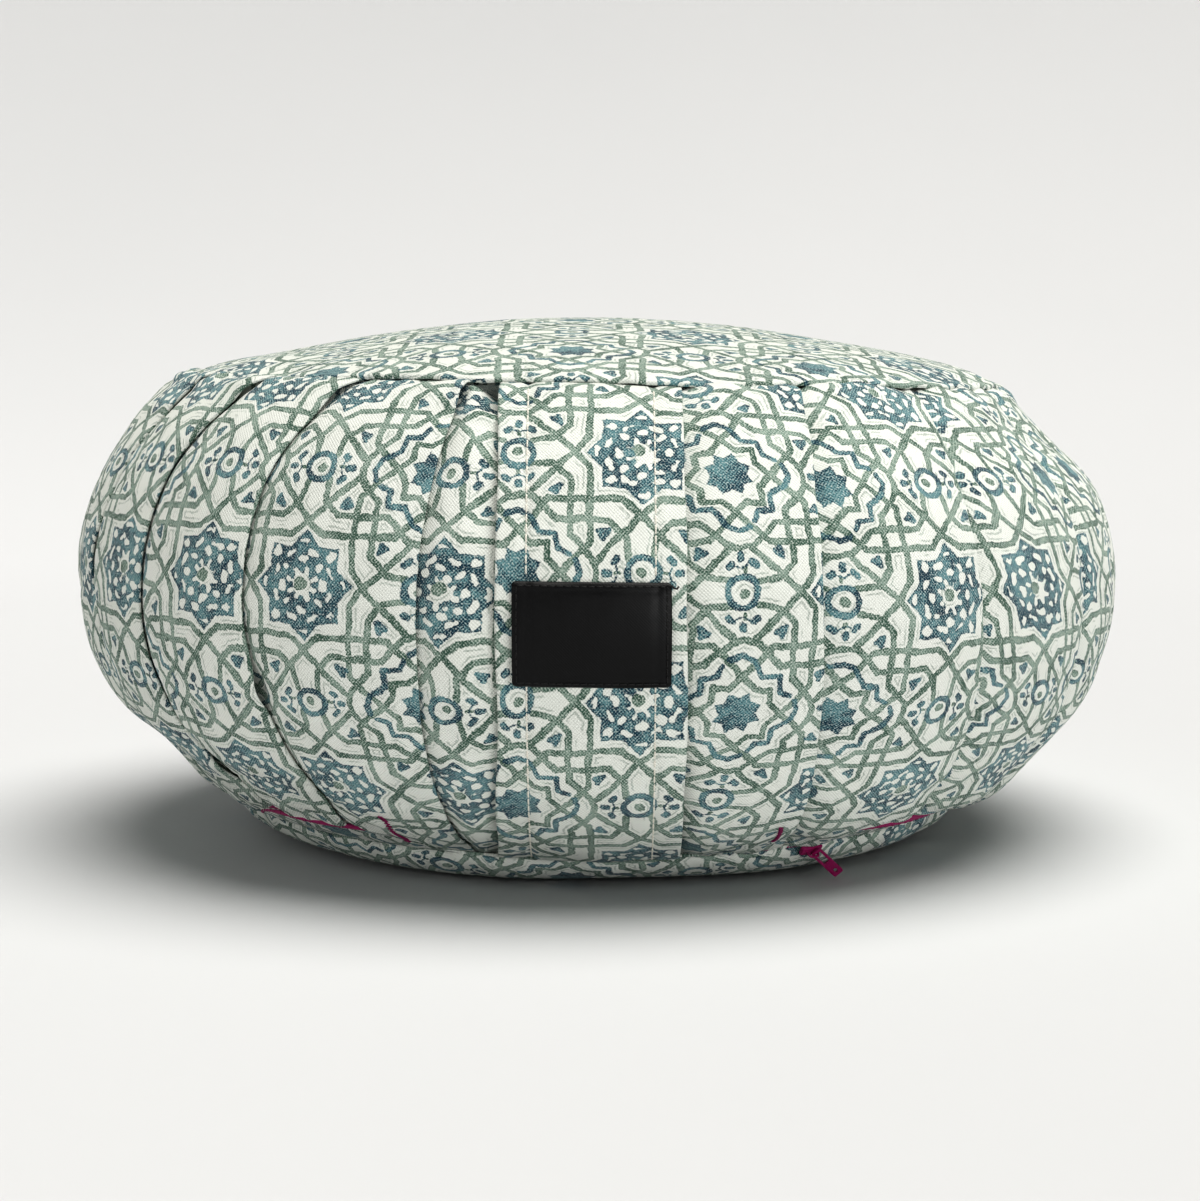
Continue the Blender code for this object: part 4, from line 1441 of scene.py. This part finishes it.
class ZAFU_OT_zip(bpy.types.Operator):
    """The zip round the back of the lower seam, its end tacks, and enamel on its slider"""

    bl_idname = "zafu.zip"
    bl_label = "Zip"

    def execute(self, context):
        trim = context.scene.zafu_trim
        azimuths = np.linspace(ZIP_START, ZIP_END, ZIP_COLUMNS)
        seam, radius = seam_level(azimuths), zip_radius(azimuths)
        rows, maps = [], []
        for depth in ZIP_SEAM_ALLOWANCE:
            rows.append(side_point(azimuths, seam - 0.0002 / SIDE_LENGTH, -depth))
            maps.append([(a / 30, -depth * 100) for a in azimuths])
        for angle in range(-150, 151, 30):
            turn = math.radians(angle)
            waver = [0.0002 * wavering(a * 0.01, angle * 0.001, 0, 0.03) for a in azimuths]
            up = radius * math.sin(turn)
            out = ZIP_PROUD * radius + radius * math.cos(turn)
            rows.append(side_point(azimuths, seam + up / SIDE_LENGTH, out + np.array(waver)))
            maps.append([(a / 30, angle / 300) for a in azimuths])
        tape = open_sheet("zip_tape_cloth", rows, maps, thickness=TAPE_THICKNESS)
        dress(tape, "woven polyester zip tape", zip_tape_cloth, trim)
        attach(tape, "root")
        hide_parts("zip_tape")

        bodies = []
        first, last = ZIP_START + COIL_MARGIN, ZIP_END - COIL_MARGIN
        for i in range(COIL_TURNS):
            azimuth = first + (last - first) * i / (COIL_TURNS - 1)
            if abs(azimuth - SLIDER_AZIMUTH) < SLIDER_REACH:
                continue
            radius = zip_radius(azimuth)
            aside = 0.0002 if i % 2 else -0.0002
            path = []
            for step, up in ((-0.12, -0.0005), (0.0, 0.0), (0.12, 0.0005)):
                level = seam_level(azimuth) + (up + aside) / SIDE_LENGTH
                over = math.sqrt(max(radius * radius - up * up, 0.0))
                out = ZIP_PROUD * radius + over - 0.0001
                path.append(side_point(azimuth + step, level, out))
            bodies.append(tube(path, COIL_RADIUS, 5))
        coil = joined("zip_coil", bodies)
        dress(coil, "nylon zip coil", zip_coil, trim)
        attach(coil, "root")

        bodies = []
        side = bpy.data.objects["side_cloth"].data
        surface = BVHTree.FromPolygons(
            [vertex.co for vertex in side.vertices], [face.vertices for face in side.polygons]
        )
        for corners in ZIP_TACKS:
            turns, levels = zip(*corners)
            count = int((levels[0] - levels[-1]) * SIDE_LENGTH / TACK_STEP)
            path = []
            for i in range(count + 1):
                share = i / count * (len(corners) - 1)
                azimuth = np.interp(share, range(len(corners)), turns)
                azimuth += TACK_HALF if i % 2 else -TACK_HALF
                level = np.interp(share, range(len(corners)), levels)
                start = Vector(side_point(azimuth, level, 0.015))
                inwards = Vector(side_point(azimuth, level, 0.0)) - start
                spot, normal, _, _ = surface.ray_cast(start, inwards.normalized(), 0.03)
                path.append(spot + normal * trim.thread_radius)
            bodies.append(tube(path, trim.thread_radius * 0.85))
        tacks = joined("bar_tacks", bodies)
        dress(tacks, "spun polyester thread, magenta", magenta_thread, trim)
        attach(tacks, "root")

        enamel = material_for("enamelled zinc alloy", enamelled_zinc, trim)
        for name in ("zip_slider", "zip_pull"):
            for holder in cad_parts[name].material_slots:
                holder.material = enamel
        return {"FINISHED"}


# The studio
COVE_COLUMNS = 96
COVE_FLAT = 1.2  # radius of the paper's flat part
COVE_STEP = 0.12
COVE_CLIMB = 0.33
COVE_ROWS = (3, 19)  # rings in the flat part and in the part that climbs
CAMERA_ASIDE = 0.0006


class ZAFU_OT_studio(bpy.types.Operator):
    """Paper cove, soft boxes and camera"""

    bl_idname = "zafu.studio"
    bl_label = "Studio"

    def execute(self, context):
        scene, studio = context.scene, context.scene.zafu_studio
        flat_rows, climbing_rows = COVE_ROWS
        rings = []
        for i in range(-flat_rows, climbing_rows):
            ring = []
            for j in range(COVE_COLUMNS):
                turn = 2 * math.pi * j / COVE_COLUMNS
                # The cove climbs sooner on the left, so the backdrop is darker there
                spread = (1 - 0.6 * math.tanh(4 * math.sin(turn))) ** -0.5
                reach = COVE_FLAT + i * COVE_STEP * spread
                if i <= 0:
                    reach = COVE_FLAT * (i + flat_rows + 0.1) / (flat_rows + 0.1)
                height = COVE_CLIMB * (max(i, 0) * COVE_STEP) ** 2
                ring.append((reach * math.sin(turn), reach * math.cos(turn), height))
            rings.append(ring)
        maps = [[(0, 0)] * COVE_COLUMNS for _ in rings]
        paper = open_sheet("paper_cove", rings, maps, True, (0, 0, 0), (0, 0), thickness=0)
        dress(paper, "matt backdrop paper", backdrop_paper, studio)

        overhead = bpy.data.lights.new("overhead", "SUN")
        overhead.energy = 2.45
        overhead.angle = math.radians(54)
        overhead.color = linear("#fffdf8")[:3]
        lamp = bpy.data.objects.new("overhead", overhead)
        lamp.rotation_euler = Vector((-0.19, 0.02, -1)).to_track_quat("-Z", "Y").to_euler()
        scene.collection.objects.link(lamp)

        front = bpy.data.lights.new("front", "AREA")
        front.shape = "SQUARE"
        front.size = 0.9
        front.energy = 8.8
        lamp = bpy.data.objects.new("front", front)
        lamp.location = (1.0, -1.7, 0.30)
        aim = Vector((0, 0, 0.09)) - lamp.location
        lamp.rotation_euler = aim.to_track_quat("-Z", "Y").to_euler()
        scene.collection.objects.link(lamp)
        # This low lamp is flagged off the paper, where it would leave a bright pool
        flagged = bpy.data.collections.new("flagged off")
        flagged.objects.link(paper)
        lamp.light_linking.receiver_collection = flagged
        flagged.collection_objects[0].light_linking.link_state = "EXCLUDE"

        world = bpy.data.worlds.new("studio light")
        world.use_nodes = True
        sky = world.node_tree.nodes["Background"]
        sky.inputs["Color"].default_value = linear("#fbf7f2")
        sky.inputs["Strength"].default_value = 0.08
        scene.world = world
        scene.view_settings.view_transform = "Standard"
        scene.view_settings.look = "High Contrast"

        data = bpy.data.cameras.new("camera")
        data.lens = studio.lens
        camera = bpy.data.objects.new("camera", data)
        camera.location = (CAMERA_ASIDE, -studio.distance, studio.eye_height)
        camera.rotation_euler = Euler((math.radians(90) - studio.pitch, 0, 0))
        scene.collection.objects.link(camera)
        scene.camera = camera
        return {"FINISHED"}


class ZAFU_PT_panel(bpy.types.Panel):
    """The cushion's pieces, sizes and colours"""

    bl_label = "Zafu"
    bl_idname = "ZAFU_PT_panel"
    bl_space_type = "VIEW_3D"
    bl_region_type = "UI"
    bl_category = "Zafu"

    def draw(self, context):
        for piece in PIECES:
            self.layout.operator(piece.bl_idname)
        for name in SETTINGS:
            box = self.layout.box()
            settings = getattr(context.scene, name)
            for field in settings.bl_rna.properties:
                if field.identifier not in ("rna_type", "name"):
                    box.prop(settings, field.identifier)


PIECES = (
    ZAFU_OT_studio,
    ZAFU_OT_side,
    ZAFU_OT_top,
    ZAFU_OT_base,
    ZAFU_OT_front,
    ZAFU_OT_label,
    ZAFU_OT_zip,
)
SETTINGS = {"zafu_cloth": ZafuCloth, "zafu_trim": ZafuTrim, "zafu_studio": ZafuStudio}


def register():
    for cls in (*SETTINGS.values(), *PIECES, ZAFU_PT_panel):
        bpy.utils.register_class(cls)
    for name, group in SETTINGS.items():
        setattr(bpy.types.Scene, name, bpy.props.PointerProperty(type=group))


def unregister():
    for name in SETTINGS:
        delattr(bpy.types.Scene, name)
    for cls in (ZAFU_PT_panel, *reversed(PIECES), *SETTINGS.values()):
        bpy.utils.unregister_class(cls)


def plain(box):
    return [[float(value) for value in corner] for corner in box]


def main():
    register()
    for piece in PIECES:
        group, name = piece.bl_idname.split(".")
        getattr(getattr(bpy.ops, group), name)()
    bpy.context.view_layer.update()


if __name__ == "__main__":
    main()
